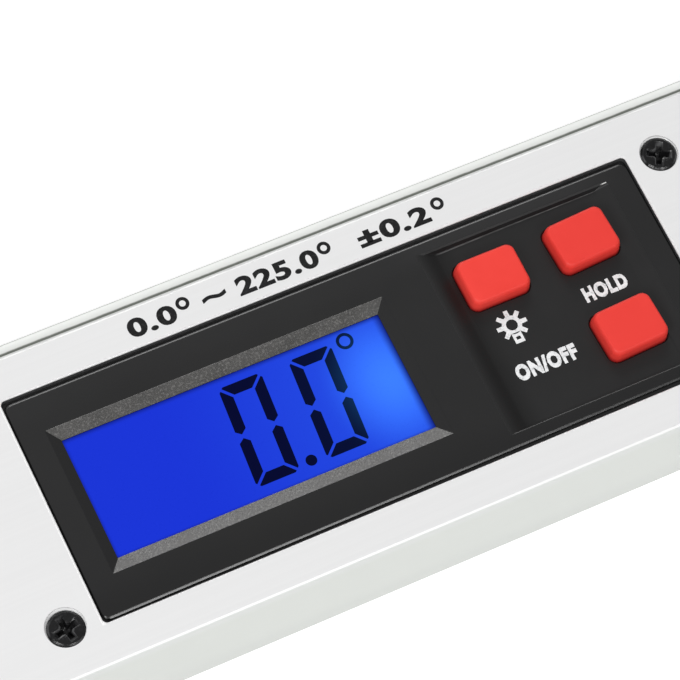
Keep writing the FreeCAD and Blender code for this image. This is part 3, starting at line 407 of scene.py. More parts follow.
@dataclass(frozen=True)
class BasePaint(Finish):
    """The base arm's paint: a greener lower side with painted shade, lighter towards the face and darker
    towards the back; painted highlights along the front's edges; painted shade on the walls of the display's
    opening.
    """

    # brow, side and foot: tint of the lower side with painted shade, lighter near the face and darker near
    # the back
    brow: Colour = (0.755, 0.782, 0.76)
    side: Colour = (0.715, 0.745, 0.70)
    foot: Colour = (0.675, 0.703, 0.665)
    # painted shade on the walls of the display's opening
    wall_shade: Colour = (0.07, 0.07, 0.072)
    # painted highlight on the front's lower and upper edges and on the opening's left rim
    edge: Colour = (0.99, 0.99, 0.985)
    side_y: Point2 = (-25.38, -25.52)
    brow_light_z: Point2 = (18.5, 21.0)
    back_shade_z: Point2 = (8.0, 0.5)
    front_z: Point2 = (21.0, 21.1)
    lower_highlight: Band = ((-25.53, -25.42), (-25.13, -25.24))
    # where the painted highlight on the upper edge starts
    upper_edge: Point2 = (22.35, 22.45)
    upper_highlight_share: float = 0.8
    upper_highlight_scale: float = 170.0
    upper_highlight_gaps: Point2 = (0.35, 0.6)
    opening: Point2 = (-74.7, -1.56)
    opening_half: Point2 = (50.5, 18.05)
    opening_z: Band = ((19.5, 19.55), (21.42, 21.32))
    rim_highlight_x: Band = ((-0.42, -0.3), (0.2, 0.1))
    rim_highlight_y: float = 0.4
    soft: float = 0.05

    def _placed(self, paint: Paint, colour: Shade) -> Shade:
        """Tints and shades the lower side, paints highlights on the front's edges, then paints shade on the
        opening's walls.

        Args:
            paint: the material's tree.
            colour: the colour so far.

        Returns:
            The colour with these in place.
        """
        x, y, z = (paint.coordinate(axis) for axis in "XYZ")
        # painted shade on the lower side: lighter towards the face, darker towards the back
        low_side = paint.blend(z.eased(*self.back_shade_z), self.side, self.foot)
        side = paint.blend(z.eased(*self.brow_light_z), low_side, self.brow)
        tinted = paint.blend(y.eased(*self.side_y), colour, side)
        highlight_gaps = paint.noise(self.upper_highlight_scale, detail=1.0).eased(*self.upper_highlight_gaps)
        (middle_x, middle_y), (half_x, half_y) = self.opening, self.opening_half
        left, beside = x - (middle_x - half_x), (y - middle_y).size()
        inner = left.within(self.rim_highlight_x) * beside.eased(half_y + self.rim_highlight_y, half_y)
        # painted highlights on the front's edges, broken along the upper one
        edges = y.within(self.lower_highlight) + y.eased(*self.upper_edge) * highlight_gaps * self.upper_highlight_share + inner
        tinted = paint.blend(z.eased(*self.front_z) * edges, tinted, self.edge)
        # painted shade on the opening's walls
        across = (x - middle_x).size().eased(half_x + 2 * self.soft, half_x + self.soft)
        up = beside.eased(half_y + 2 * self.soft, half_y + self.soft)
        return paint.blend(across * up * z.within(self.opening_z), tinted, self.wall_shade)


@dataclass(frozen=True)
class ArmPaint(Finish):
    """The folding arm's paint, with a painted shadow line along its front under the base arm's lip."""

    # painted shadow line under the base arm's lip
    gap_shadow: Colour = (0.17, 0.185, 0.16)
    # painted shade on the round edge beside the measuring face
    edge: Colour = (0.62, 0.64, 0.615)
    edge_shade_y: Point2 = (25.2, 25.45)
    edge_shade_z: Point2 = (18.6, 18.8)
    front_z: Point2 = (19.1, 19.2)
    gap_shadow_y: Band = ((23.72, 23.82), (24.3, 24.02))
    wander: float = 0.12
    wander_scale: float = 700.0

    def _placed(self, paint: Paint, colour: Shade) -> Shade:
        """Paints shade on the round edge beside the measuring face, then draws the painted shadow line under
        the lip.

        Args:
            paint: the material's tree.
            colour: the colour so far.

        Returns:
            The colour with these in place.
        """
        y, z = paint.coordinate("Y"), paint.coordinate("Z")
        edge_shaded = paint.blend(y.eased(*self.edge_shade_y) * z.eased(*self.edge_shade_z), colour, self.edge)
        start, end = self.gap_shadow_y
        # ragged upper end of the painted shadow line
        worn = y + self.wander * (paint.noise(self.wander_scale) - 0.5)
        line = z.eased(*self.front_z) * y.eased(*start) * worn.eased(*end)
        return paint.blend(line, edge_shaded, self.gap_shadow)


@dataclass(frozen=True)
class CapPaint(Finish):
    """The buttons' red plastic, with painted shade deepening it towards the hole that a cap stands in."""

    # painted shade towards the hole that the cap stands in
    deep_shade: Colour = (0.2, 0.005, 0.006)
    # painted shade on the caps farther along
    far: Colour = (0.8, 0.044, 0.034)
    rise: Point2 = (19.95, 21.55)
    far_shade_x: Point2 = (-48.0, -40.0)
    far_shade_share: float = 0.6

    def _placed(self, paint: Paint, colour: Shade) -> Shade:
        """Paints shade into the red below the top, and a little on the caps farther along."""
        # painted shade on the farther caps, then below the top
        far_shaded = paint.blend(paint.coordinate("X").eased(*self.far_shade_x) * self.far_shade_share, colour, self.far)
        return paint.blend(paint.coordinate("Z").eased(*self.rise), self.deep_shade, far_shaded)


@dataclass(frozen=True)
class BezelPlastic(Finish):
    """The bezel's plastic, with painted light along its upper edge and painted shade along its lower one."""

    # painted light along the upper edge, then painted shade along the lower one
    pale: Colour = (0.0195, 0.0195, 0.02)
    deep_shade: Colour = (0.0085, 0.0085, 0.0088)
    upper_light_y: Point2 = (10.5, 15.0)
    lower_shade_y: Point2 = (-12.5, -18.5)
    upper_light_x: Band = ((-66.0, -58.0), (-24.0, -36.0))
    least: float = 0.45

    def _placed(self, paint: Paint, colour: Shade) -> Shade:
        """Paints light and shade on the flat, from its lower to its upper edge.

        Args:
            paint: the material's tree.
            colour: the colour so far.

        Returns:
            The shaded colour.
        """
        x, y = paint.coordinate("X"), paint.coordinate("Y")
        start, end = self.upper_light_x
        # painted light along the upper edge
        raised = y.eased(*self.upper_light_y) * (self.least + (1 - self.least) * x.eased(*start)) * x.eased(*end)
        return paint.blend(raised, paint.blend(y.eased(*self.lower_shade_y), colour, self.deep_shade), self.pale)


@dataclass(frozen=True)
class PadPlastic(Finish):
    """The sunk pad's plastic, with painted shade on its left ramp, a painted highlight along its upper step's
    foot and a painted glint at that step's end.
    """

    # painted shade on the left ramp
    shade: Colour = (0.003, 0.003, 0.0031)
    # painted glint at the end of the upper step
    rubbed: Colour = (0.7, 0.7, 0.69)
    ramp_x: Band = ((-59.8, -57.8), (-53.6, -57.5))
    glint_x: Band = ((-29.6, -28.8), (-28.35, -28.55))
    glint_y: Band = ((13.74, 13.79), (13.94, 13.89))
    glint_z: Band = ((20.8, 20.86), (21.2, 21.14))
    # painted highlight line along the foot of the upper step
    foot_highlight: Colour = (0.085, 0.085, 0.086)
    foot_highlight_point: Point2 = (-53.0, 13.27)
    foot_highlight_rise: float = 0.0075
    foot_highlight_across: Band = ((-0.11, -0.06), (0.11, 0.06))
    foot_highlight_x: Point2 = (-57.5, -56.0)
    foot_highlight_least: float = 0.4
    foot_highlight_scale: float = 350.0
    foot_highlight_gaps: Point2 = (0.4, 0.6)

    def _placed(self, paint: Paint, colour: Shade) -> Shade:
        """Paints shade on the ramp, a broken highlight line at the step's foot, then a glint at the step's
        end.

        Args:
            paint: the material's tree.
            colour: the colour so far.

        Returns:
            The colour with these in place.
        """
        x, y, z = (paint.coordinate(axis) for axis in "XYZ")
        # painted shade on the left ramp
        shaded = paint.blend(x.within(self.ramp_x), colour, self.shade)
        # painted highlight, broken, along the step's foot
        beside = y - self.foot_highlight_point[1] - (x - self.foot_highlight_point[0]) * self.foot_highlight_rise
        line = beside.within(self.foot_highlight_across) * x.eased(*self.foot_highlight_x)
        broken = self.foot_highlight_least + (1 - self.foot_highlight_least) * paint.noise(self.foot_highlight_scale).eased(*self.foot_highlight_gaps)
        shaded = paint.blend(line * broken, shaded, self.foot_highlight)
        # painted glint at the step's end
        glint = x.within(self.glint_x) * y.within(self.glint_y) * z.within(self.glint_z)
        return paint.blend(glint, shaded, self.rubbed)


@dataclass(frozen=True)
class RubbedGlintSteel(Finish):
    """Blackened steel whose edges, below the face screws' flat tops, are rubbed to grey; the grey also paints
    the rims' glints.
    """

    # grey of rubbed metal, which also paints the rims' glints
    worn: Colour = (0.07, 0.07, 0.072)
    rubbed_glint_z: Band = ((20.7, 20.95), (21.37, 21.28))
    rubbed_glint_scale: float = 420.0
    rubbed_glint_gaps: Point2 = (0.42, 0.62)

    def _placed(self, paint: Paint, colour: Shade) -> Shade:
        """Lets the bare metal through where the edge is rubbed, which also paints the rim's glints."""
        rubbed = paint.noise(self.rubbed_glint_scale).eased(*self.rubbed_glint_gaps)
        return paint.blend(rubbed * paint.coordinate("Z").within(self.rubbed_glint_z), colour, self.worn)


@dataclass(frozen=True)
class TurnedMetal(Coating):
    """Metal turned on a lathe: fine rings about an upright axis."""

    colour: Colour
    centre: Point2
    ring_scale: float = 2200.0
    grain_scale: float = 3000.0
    dull: float = 0.82
    ring_band: Point2 = (0.35, 0.7)
    roughness: Point3 = (0.22, 0.16, 0.06)
    relief: float = 6e-6

    def _build(self) -> bpy.types.Material:
        """Wires rings about the axis over fine grain.

        Returns:
            The material.
        """
        paint = Paint(self.name)
        x = paint.coordinate("X") - self.centre[0]
        y = paint.coordinate("Y") - self.centre[1]
        radius = (x * x + y * y) ** 0.5
        height = paint.coordinate("Z")
        spot = paint.node("ShaderNodeCombineXYZ", None, {0: radius * MM, 1: height * MM, 2: 0.0}).outputs[0]
        rings = paint.noise(self.ring_scale, roughness=0.6, vector=spot)
        grain = paint.noise(self.grain_scale)
        dulled = tuple(channel * self.dull for channel in self.colour)
        least, by_ring, by_grain = self.roughness
        return paint.finish({
            "Base Color": paint.blend(rings.eased(*self.ring_band), self.colour, dulled),
            "Metallic": 1.0, "Roughness": least + by_ring * rings + by_grain * grain,
            "Normal": paint.bump(rings * 0.7 + grain * 0.3, self.relief)})


@dataclass(frozen=True)
class ScreenLight:
    """Backlight behind the screen: bright to the right of the middle, with painted shade at the edges where
    the lips overhang it.
    """

    left: float = -119.3
    right: float = -69.2
    low: float = -11.21
    high: float = 8.09
    glow: Point2 = (-71.8, -1.8)
    reach: Point2 = (11.3, 13.5)
    spread: float = 3.2
    spread_share: float = 0.2
    # widths of the painted shade that the lips cast at each edge
    near_lip_shade: Point2 = (-0.5, 0.6)
    right_lip_shade: Point2 = (-0.3, 1.4)
    upper_edge: Point2 = (-0.4, 0.84)

    def glowing(self, paint: Paint) -> Value:
        """Wires the light's brightness.

        Args:
            paint: the material's tree.

        Returns:
            0 over most of the screen, rising to 1 near its right end.
        """
        across = (paint.coordinate("X") - self.glow[0]) / self.reach[0]
        up = (paint.coordinate("Y") - self.glow[1]) / self.reach[1]
        away = (across * across + up * up) ** 0.5
        wide = away.eased(self.spread, 0.0)
        return (1 - self.spread_share) * away.eased(1.0, 0.0) + self.spread_share * wide

    def rim(self, paint: Paint) -> Value:
        """Wires the painted shade towards the edges under the lips, which is softer at the top and the right.

        Args:
            paint: the material's tree.

        Returns:
            1 inside the screen, falling to 0 at its edge.
        """
        x, y = paint.coordinate("X"), paint.coordinate("Y")
        near = (x - self.left).eased(*self.near_lip_shade) * (y - self.low).eased(*self.near_lip_shade)
        far = (self.right - x).eased(*self.right_lip_shade) * (self.high - y).eased(*self.upper_edge)
        return near * far


@dataclass(frozen=True)
class LitScreen(Coating):
    """Blue backlit screen."""

    light: ScreenLight
    dim: Colour
    bright: Colour
    unlit: Colour = (0.002, 0.004, 0.03)
    lip_shade_share: float = 0.25
    film: Point2 = (0.94, 0.12)
    roughness: Point2 = (0.24, 0.1)
    gloss: float = 0.1
    relief: float = 1e-6

    def _build(self) -> bpy.types.Material:
        """Wires the glow, the painted shade at its rim and a faint film grain.

        Returns:
            The material.
        """
        paint = Paint(self.name)
        grain = paint.noise(FILM_GRAIN)
        lit = paint.blend(self.light.glowing(paint), self.dim, self.bright)
        # painted shade under the lips at the screen's rim
        dark = tuple(channel * self.lip_shade_share for channel in self.dim)
        shade = self.light.rim(paint) * (self.film[0] + self.film[1] * grain)
        rough = self.roughness[0] + self.roughness[1] * grain
        return paint.finish({
            "Base Color": self.unlit, "Roughness": rough, "Specular IOR Level": self.gloss,
            "Emission Color": paint.blend(shade.least(1.0), dark, lit), "Emission Strength": 1.0,
            "Normal": paint.bump(grain, self.relief)})


@dataclass(frozen=True)
class ScreenInk(Coating):
    """Dark segments of the reading, which let a little of the backlight through."""

    light: ScreenLight
    ink: Colour = (0.0005, 0.001, 0.006)
    dim: Colour = (0.0, 0.0006, 0.022)
    bright: Colour = (0.004, 0.034, 0.11)
    leak: Point2 = (0.05, 0.75)
    roughness: Point2 = (0.26, 0.1)
    gloss: float = 0.05

    def _build(self) -> bpy.types.Material:
        """Wires the light that leaks through.

        Returns:
            The material.
        """
        paint = Paint(self.name)
        grain = paint.noise(FILM_GRAIN)
        leaking = paint.blend(self.light.glowing(paint).eased(*self.leak), self.dim, self.bright)
        rough = self.roughness[0] + self.roughness[1] * grain
        return paint.finish({
            "Base Color": self.ink, "Roughness": rough, "Specular IOR Level": self.gloss,
            "Emission Color": leaking, "Emission Strength": 1.0})


@dataclass(frozen=True)
class Clear(Coating):
    """Clear or tinted material that light passes through."""

    tint: Colour
    index: float
    passing: float = 1.0
    # emission strength; on the vial's liquid and bubble it is painted light
    glow: float = 0.0
    wave_scale: float = 300.0
    paler: Point2 = (1.04, 0.01)
    roughness: Point2 = (0.03, 0.05)
    relief: float = 8e-6

    def _build(self) -> bpy.types.Material:
        """Wires a smooth surface with faint waves and specks.

        Returns:
            The material.
        """
        paint = Paint(self.name)
        waves = paint.noise(self.wave_scale)
        pale = tuple(min(1.0, channel * self.paler[0] + self.paler[1]) for channel in self.tint)
        tinted = paint.blend(waves.eased(*CLOUD_BAND), self.tint, pale)
        rough = self.roughness[0] + self.roughness[1] * waves
        return paint.finish({
            "Base Color": tinted, "Roughness": rough, "IOR": self.index,
            "Transmission Weight": self.passing, "Emission Color": tinted, "Emission Strength": self.glow,
            "Normal": paint.bump(waves, self.relief)})


@dataclass(frozen=True)
class CircuitBoard(Coating):
    """Green board with copper tracks under its mask."""

    mask: Colour = (0.006, 0.085, 0.03)
    thin_mask: Colour = (0.01, 0.12, 0.045)
    track: Colour = (0.05, 0.24, 0.07)
    track_scale: float = 260.0
    track_edge: Point2 = (0.14, 0.04)
    grain_scale: float = 1800.0
    roughness: Point2 = (0.28, 0.2)
    coat: float = 0.4
    relief: float = 2e-5

    def _build(self) -> bpy.types.Material:
        """Wires the tracks as edges between scattered cells.

        Returns:
            The material.
        """
        paint = Paint(self.name)
        cells = paint.value("ShaderNodeTexVoronoi", {"feature": "DISTANCE_TO_EDGE", "distance": "EUCLIDEAN"},
                            {"Vector": paint.place, "Scale": self.track_scale}, "Distance")
        tracks = cells.eased(*self.track_edge)
        grain = paint.noise(self.grain_scale, detail=3.0)
        masked = paint.blend(grain.eased(*CLOUD_BAND), self.mask, self.thin_mask)
        return paint.finish({
            "Base Color": paint.blend(tracks, masked, self.track),
            "Roughness": self.roughness[0] + self.roughness[1] * grain, "Coat Weight": self.coat,
            "Normal": paint.bump(tracks * 0.8 + grain * 0.2, self.relief)})


LIGHT = ScreenLight()
FACE_PAINT = BasePaint("Painted_face", (0.79, 0.79, 0.792), (0.818, 0.818, 0.82), (0.34, 0.46),
                       specular=0.45, cloud_scale=18.0, grain_scale=2600.0, grain_relief=2e-6,
                       streaks=(10.0, 1500.0, 1500.0), streak_share=0.5, coat=0.5, coat_roughness=0.12,
                       scuffs=0.2)
ARM_PAINT = ArmPaint("Painted_folding_arm", (0.85, 0.865, 0.84), (0.885, 0.897, 0.875), (0.4, 0.55),
                     specular=0.4, cloud_scale=22.0, grain_scale=2600.0, grain_relief=3e-6,
                     streaks=(12.0, 2400.0, 2400.0), streak_share=0.6, scuffs=0.2)
SATIN_METAL = Finish("Satin_aluminium", (0.56, 0.57, 0.58), (0.66, 0.66, 0.67), (0.28, 0.42), metallic=1.0,
                     grain_scale=3000.0, grain_relief=5e-6, streaks=(3000.0, 90.0, 90.0))
BLACK_MOULDED = Finish("Black_moulded_plastic", (0.012, 0.012, 0.013), (0.02, 0.02, 0.021), (0.4, 0.58),
                       grain_scale=2200.0, grain_relief=1.2e-5, fleck=(0.04, 0.04, 0.042), fleck_share=0.35)
KNOB_PLASTIC = Finish("Black_knob_plastic", (0.010, 0.010, 0.011), (0.018, 0.018, 0.02), (0.3, 0.48),
                      grain_scale=1600.0, grain_relief=1.4e-5, fleck=(0.035, 0.035, 0.037))
BEZEL_SMOOTH = BezelPlastic("Bezel_satin", (0.0105, 0.0105, 0.0108), (0.0135, 0.0135, 0.0138), (0.2, 0.27),
                      specular=0.5, cloud_scale=30.0, grain_scale=3600.0, grain_relief=1e-6, scuffs=0.1)
BEZEL_PAD = PadPlastic("Bezel_pad", (0.0095, 0.0095, 0.0098), (0.0125, 0.0125, 0.0128), (0.34, 0.42),
                       specular=0.45, cloud_scale=30.0, grain_scale=3600.0, grain_relief=1.5e-6, scuffs=0.1)
# painted shade: a darker, duller copy of the bezel plastic for the upper step's riser
BEZEL_RISER_SHADE = Finish("Bezel_riser_shade", (0.0085, 0.0085, 0.0087), (0.012, 0.012, 0.0122), (0.5, 0.6),
                     specular=0.12, cloud_scale=200.0, grain_scale=3600.0, grain_relief=2e-6)
BEZEL_GRAINED = Finish("Bezel_grained", (0.04, 0.039, 0.037), (0.062, 0.06, 0.057), (0.34, 0.48),
                       specular=0.8, cloud_scale=200.0, grain_scale=3000.0, grain_relief=4.5e-5,
                       fleck=(0.24, 0.233, 0.224), fleck_scale=3200.0, fleck_share=0.34)
RUBBED_PLASTIC = Finish("Rubbed_black_plastic", (0.035, 0.035, 0.036), (0.06, 0.06, 0.062), (0.3, 0.42),
                        grain_scale=2200.0, grain_relief=8e-6)
RED_MOULDED = CapPaint("Red_moulded_plastic", (0.86, 0.049, 0.036), (0.90, 0.058, 0.044), (0.4, 0.52),
                       specular=0.3, cloud_scale=90.0, grain_scale=3000.0, grain_relief=3e-6, scuffs=0.15)
BLACK_METAL = RubbedGlintSteel("Blackened_steel", (0.006, 0.006, 0.0065), (0.009, 0.009, 0.0095), (0.14, 0.24),
                        specular=0.34, cloud_scale=500.0, grain_scale=1200.0, grain_relief=1e-4,
                        fleck=(0.022, 0.022, 0.024), fleck_scale=1500.0)
PLAIN_STEEL = Finish("Zinc_plated_steel", (0.52, 0.53, 0.55), (0.62, 0.62, 0.63), (0.2, 0.36), metallic=1.0,
                     cloud_scale=300.0, grain_scale=3000.0, grain_relief=5e-6)
BRONZE = Finish("Sintered_bronze", (0.52, 0.29, 0.13), (0.62, 0.37, 0.18), (0.3, 0.45), metallic=1.0,
                grain_scale=2600.0, grain_relief=1.5e-5)
BRASS = Finish("Turned_brass", (0.72, 0.5, 0.2), (0.8, 0.58, 0.26), (0.2, 0.34), metallic=1.0,
               grain_scale=2600.0, streaks=(90.0, 90.0, 3000.0))
NYLON = Finish("Natural_nylon", (0.7, 0.68, 0.62), (0.78, 0.76, 0.7), (0.4, 0.55), grain_scale=2000.0)
RIBBON = Finish("Amber_film", (0.42, 0.16, 0.02), (0.5, 0.2, 0.03), (0.18, 0.3), coat=0.4,
                streaks=(20.0, 1600.0, 1600.0))
GUIDE = Finish("Frosted_light_guide", (0.7, 0.75, 0.82), (0.8, 0.84, 0.9), (0.4, 0.55), grain_scale=1500.0,
               grain_relief=1.2e-5)
CELL = Finish("Cell_jacket", (0.02, 0.055, 0.19), (0.03, 0.07, 0.24), (0.2, 0.34), coat=0.3,
              grain_scale=1800.0, streaks=(1800.0, 40.0, 40.0))
LEADS = Finish("Lead_insulation", (0.35, 0.012, 0.01), (0.45, 0.02, 0.015), (0.4, 0.55), grain_scale=2500.0)
LABEL_INK = Finish("Pale_label_ink", (0.78, 0.79, 0.80), (0.9, 0.905, 0.91), (0.5, 0.65), specular=0.3,
                   cloud_scale=900.0, grain_scale=3500.0, grain_relief=6e-6, fleck=(0.32, 0.33, 0.34),
                   fleck_scale=2600.0, fleck_share=0.45)
MARK_INK = Finish("Black_marking_ink", (0.006, 0.006, 0.0065), (0.012, 0.012, 0.013), (0.5, 0.62),
                  specular=0.2, cloud_scale=500.0, grain_scale=3500.0, grain_relief=3e-6,
                  fleck=(0.04, 0.04, 0.04), fleck_scale=2200.0, fleck_share=0.4)
SCREEN_GLASS = LitScreen("Lit_screen", LIGHT, (0.0055, 0.029, 0.655), (0.042, 0.21, 1.12))
DIGIT_INK = ScreenInk("Screen_segments", LIGHT)
ACRYLIC = Clear("Clear_acrylic", (0.96, 0.98, 0.96), index=1.49)
# painted light: the liquid and the bubble glow, as little light reaches them through the tube
LIQUID = Clear("Vial_liquid", (0.5, 0.88, 0.05), index=1.36, passing=0.45, glow=0.28)
BUBBLE = Clear("Vial_bubble", (0.86, 0.98, 0.5), index=1.36, passing=0.3, glow=0.42)
BOARD = CircuitBoard("Circuit_board")

SLOT_FINISHES: dict[Slot, Coating] = {
    Slot.PAINTED_ALUMINIUM: FACE_PAINT, Slot.SATIN_ALUMINIUM: SATIN_METAL,
    Slot.BLACK_PLASTIC: BLACK_MOULDED, Slot.BEZEL_PLASTIC: BEZEL_SMOOTH, Slot.BLACK_STEEL: BLACK_METAL,
    Slot.STEEL: PLAIN_STEEL, Slot.BRONZE: BRONZE, Slot.BRASS: BRASS, Slot.NYLON: NYLON,
    Slot.CIRCUIT_BOARD: BOARD, Slot.RIBBON_FILM: RIBBON, Slot.SCREEN_BLUE: SCREEN_GLASS,
    Slot.LIGHT_GUIDE: GUIDE, Slot.RED_PLASTIC: RED_MOULDED, Slot.CELL_JACKET: CELL,
    Slot.LEAD_INSULATION: LEADS, Slot.CLEAR_ACRYLIC: ACRYLIC, Slot.VIAL_LIQUID: LIQUID,
}


# ---- Outlines and shells ----

def rounded(left: float, right: float, low: float, high: float, radius: float, steps: int = 6) -> Outline:
    """Rectangle with round corners, anticlockwise.

    Args:
        left: lowest X.
        right: highest X.
        low: lowest Y.
        high: highest Y.
        radius: corner radius.
        steps: straight pieces in each corner.

    Returns:
        The outline's points.
    """
    corners = ((right - radius, low + radius, -90), (right - radius, high - radius, 0),
               (left + radius, high - radius, 90), (left + radius, low + radius, 180))
    points = []
    for x, y, start in corners:
        for step in range(steps + 1):
            angle = math.radians(start + 90 * step / steps)
            points.append((x + radius * math.cos(angle), y + radius * math.sin(angle)))
    return points


def bar(half_x: float, half_y: float, radius: float, steps: int) -> Outline:
    """Rectangle with round corners about the origin."""
    return rounded(-half_x, half_x, -half_y, half_y, radius, steps)


def circle(radius: float, count: int = 48, x: float = 0.0, y: float = 0.0) -> Outline:
    """Circle of straight pieces, anticlockwise."""
    turns = [2 * math.pi * index / count for index in range(count)]
    return [(x + radius * math.cos(turn), y + radius * math.sin(turn)) for turn in turns]


def twisted(outline: Outline, degrees: float, centre: Point2) -> Outline:
    """Turns an outline about a point.

    Args:
        outline: its points.
        degrees: how far, anticlockwise.
        centre: the point.

    Returns:
        The turned outline.
    """
    cosine, sine = math.cos(math.radians(degrees)), math.sin(math.radians(degrees))
    x0, y0 = centre
    return [(x0 + (x - x0) * cosine - (y - y0) * sine, y0 + (x - x0) * sine + (y - y0) * cosine)
            for x, y in outline]


def round_over(radius: float, steps: int = 4) -> list[Point2]:
    """Quarter round from an upright side to a level top, as pairs of inset and drop."""
    turns = [math.pi / 2 * step / steps for step in range(steps + 1)]
    return [(radius * (1 - math.cos(turn)), radius * (1 - math.sin(turn))) for turn in turns]


class Shell:
    """A closed skin under construction, in millimetres."""

    def __init__(self) -> None:
        """Starts with nothing."""
        self.bm = bmesh.new()

    def ring(self, outline: Iterable[Point2], z: float) -> Ring:
        """Points of an outline at one height."""
        return [self.bm.verts.new((x, y, z)) for x, y in outline]

    def loop(self, points: Iterable[Sequence[float]]) -> Ring:
        """Points anywhere."""
        return [self.bm.verts.new(point) for point in points]

    def wall(self, first: Ring, second: Ring, tag: int = 0) -> list[bmesh.types.BMFace]:
        """Skin between two rings of as many points.

        Args:
            first: one ring.
            second: the next.
            tag: number of the material.

        Returns:
            The new faces.
        """
        count = len(first)
        made = []
        for index in range(count):
            after = (index + 1) % count
            face = self.bm.faces.new((first[index], first[after], second[after], second[index]))
            face.material_index = tag
            made.append(face)
        return made

    def walls(self, rings: Sequence[Ring], tag: int = 0) -> None:
        """Skin between each ring and the next."""
        for first, second in zip(rings, rings[1:]):
            self.wall(first, second, tag)

    def lid(self, ring: Ring, tag: int = 0) -> None:
        """Flat face over a ring."""
        self.bm.faces.new(ring).material_index = tag

    def plate(self, outer: Ring, holes: Sequence[Ring] = (), tag: int = 0) -> None:
        """Flat skin inside a ring and outside the holes in it.

        Args:
            outer: ring round the skin.
            holes: rings that it leaves open.
            tag: number of the material.
        """
        edges = []
        for ring in (outer, *holes):
            for first, second in zip(ring, ring[1:] + ring[:1]):
                edges.append(self.bm.edges.get((first, second)) or self.bm.edges.new((first, second)))
        filled = bmesh.ops.triangle_fill(self.bm, use_beauty=True, use_dissolve=False, edges=edges)
        for item in filled["geom"]:
            if isinstance(item, bmesh.types.BMFace):
                item.material_index = tag

    def band(self, outer: Outline, inner: Outline, z: float) -> None:
        """Thin flat skin between two outlines, with its edges.

        Args:
            outer: outline round it.
            inner: outline of the hole in it.
            z: height of its underside.
        """
        sides = []
        for outline in (outer, inner):
            low, high = self.ring(outline, z), self.ring(outline, z + INK_THICKNESS)
            self.wall(low, high)
            sides.append((low, high))
        for level in (0, 1):
            self.plate(sides[0][level], [sides[1][level]])

    def mesh(self, name: str, outward: bool = True) -> bpy.types.Mesh:
        """Closes the work and gives the mesh in metres.

        Args:
            name: name of the mesh.
            outward: turns the faces outwards; False leaves them as they were made.

        Returns:
            The mesh.
        """
        if outward:
            bmesh.ops.recalc_face_normals(self.bm, faces=self.bm.faces)
        made = bpy.data.meshes.new(name)
        self.bm.to_mesh(made)
        self.bm.free()
        made.transform(Matrix.Scale(MM, 4))
        return made


def stacked(outlines: Sequence[tuple[Outline, float]]) -> Shell:
    """Builds a closed shell from outlines at rising heights.

    Args:
        outlines: pairs of outline and height, from below.

    Returns:
        The shell.
    """
    shell = Shell()
    rings = [shell.ring(outline, z) for outline, z in outlines]
    shell.lid(rings[0])
    shell.walls(rings)
    shell.lid(rings[-1])
    return shell


def shown(name: str, mesh: bpy.types.Mesh, finishes: Sequence[Coating],
          crease: float = 34.0) -> bpy.types.Object:
    """Makes a mesh a piece of the scene.

    Args:
        name: name of the piece.
        mesh: its mesh, in place.
        finishes: its finishes, in the order of its material numbers.
        crease: angle in degrees above which an edge stays sharp.

    Returns:
        The new object.
    """
    piece = bpy.data.objects.new(name, mesh)
    bpy.context.scene.collection.objects.link(piece)
    numbers = [min(polygon.material_index, len(finishes) - 1) for polygon in mesh.polygons]
    mesh.materials.clear()
    for finish in finishes:
        mesh.materials.append(finish.material())
    mesh.polygons.foreach_set("material_index", numbers)
    mesh.polygons.foreach_set("use_smooth", [True] * len(mesh.polygons))
    mesh.set_sharp_from_angle(angle=math.radians(crease))
    normals = piece.modifiers.new("Weighted_normals", "WEIGHTED_NORMAL")
    normals.keep_sharp = True
    return piece


def settled(piece: bpy.types.Object, body: Body, slot: Slot, *stands_for: str) -> bpy.types.Object:
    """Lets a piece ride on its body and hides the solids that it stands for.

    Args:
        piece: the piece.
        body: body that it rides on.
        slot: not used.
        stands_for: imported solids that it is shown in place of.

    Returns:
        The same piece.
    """
    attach(piece, body.value)
    if stands_for:
        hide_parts(*stands_for)
    log.info("%s on %s, %d faces", piece.name, body.value, len(piece.data.polygons))
    return piece


def frayed(bm: bmesh.types.BMesh, step: float, amount: float, most_cuts: int = 12) -> None:
    """Makes flat outlines uneven, as ink on a grained surface is.

    Args:
        bm: flat faces.
        step: longest straight piece that is left.
        amount: how far a point may move.
        most_cuts: largest number of cuts in one edge.
    """
    wave = step * 1.6
    long = [edge for edge in bm.edges if edge.is_boundary and edge.calc_length() > step]
    for edge in long:
        bmesh.ops.subdivide_edges(bm, edges=[edge], cuts=min(most_cuts, int(edge.calc_length() / step)))
    noise.seed_set(FRAY_SEED)
    for vertex in bm.verts:
        shift = noise.noise_vector(vertex.co / wave) * amount
        vertex.co += Vector((shift.x, shift.y, 0.0))


def ordered(bm: bmesh.types.BMesh) -> None:
    """Puts the faces in the order of their points, which an extrusion leaves to chance.

    Args:
        bm: the faces.
    """
    bm.verts.index_update()
    faces = sorted(bm.faces, key=lambda face: sorted(vertex.index for vertex in face.verts))
    for number, face in enumerate(faces):
        face.index = number
    bm.faces.sort()


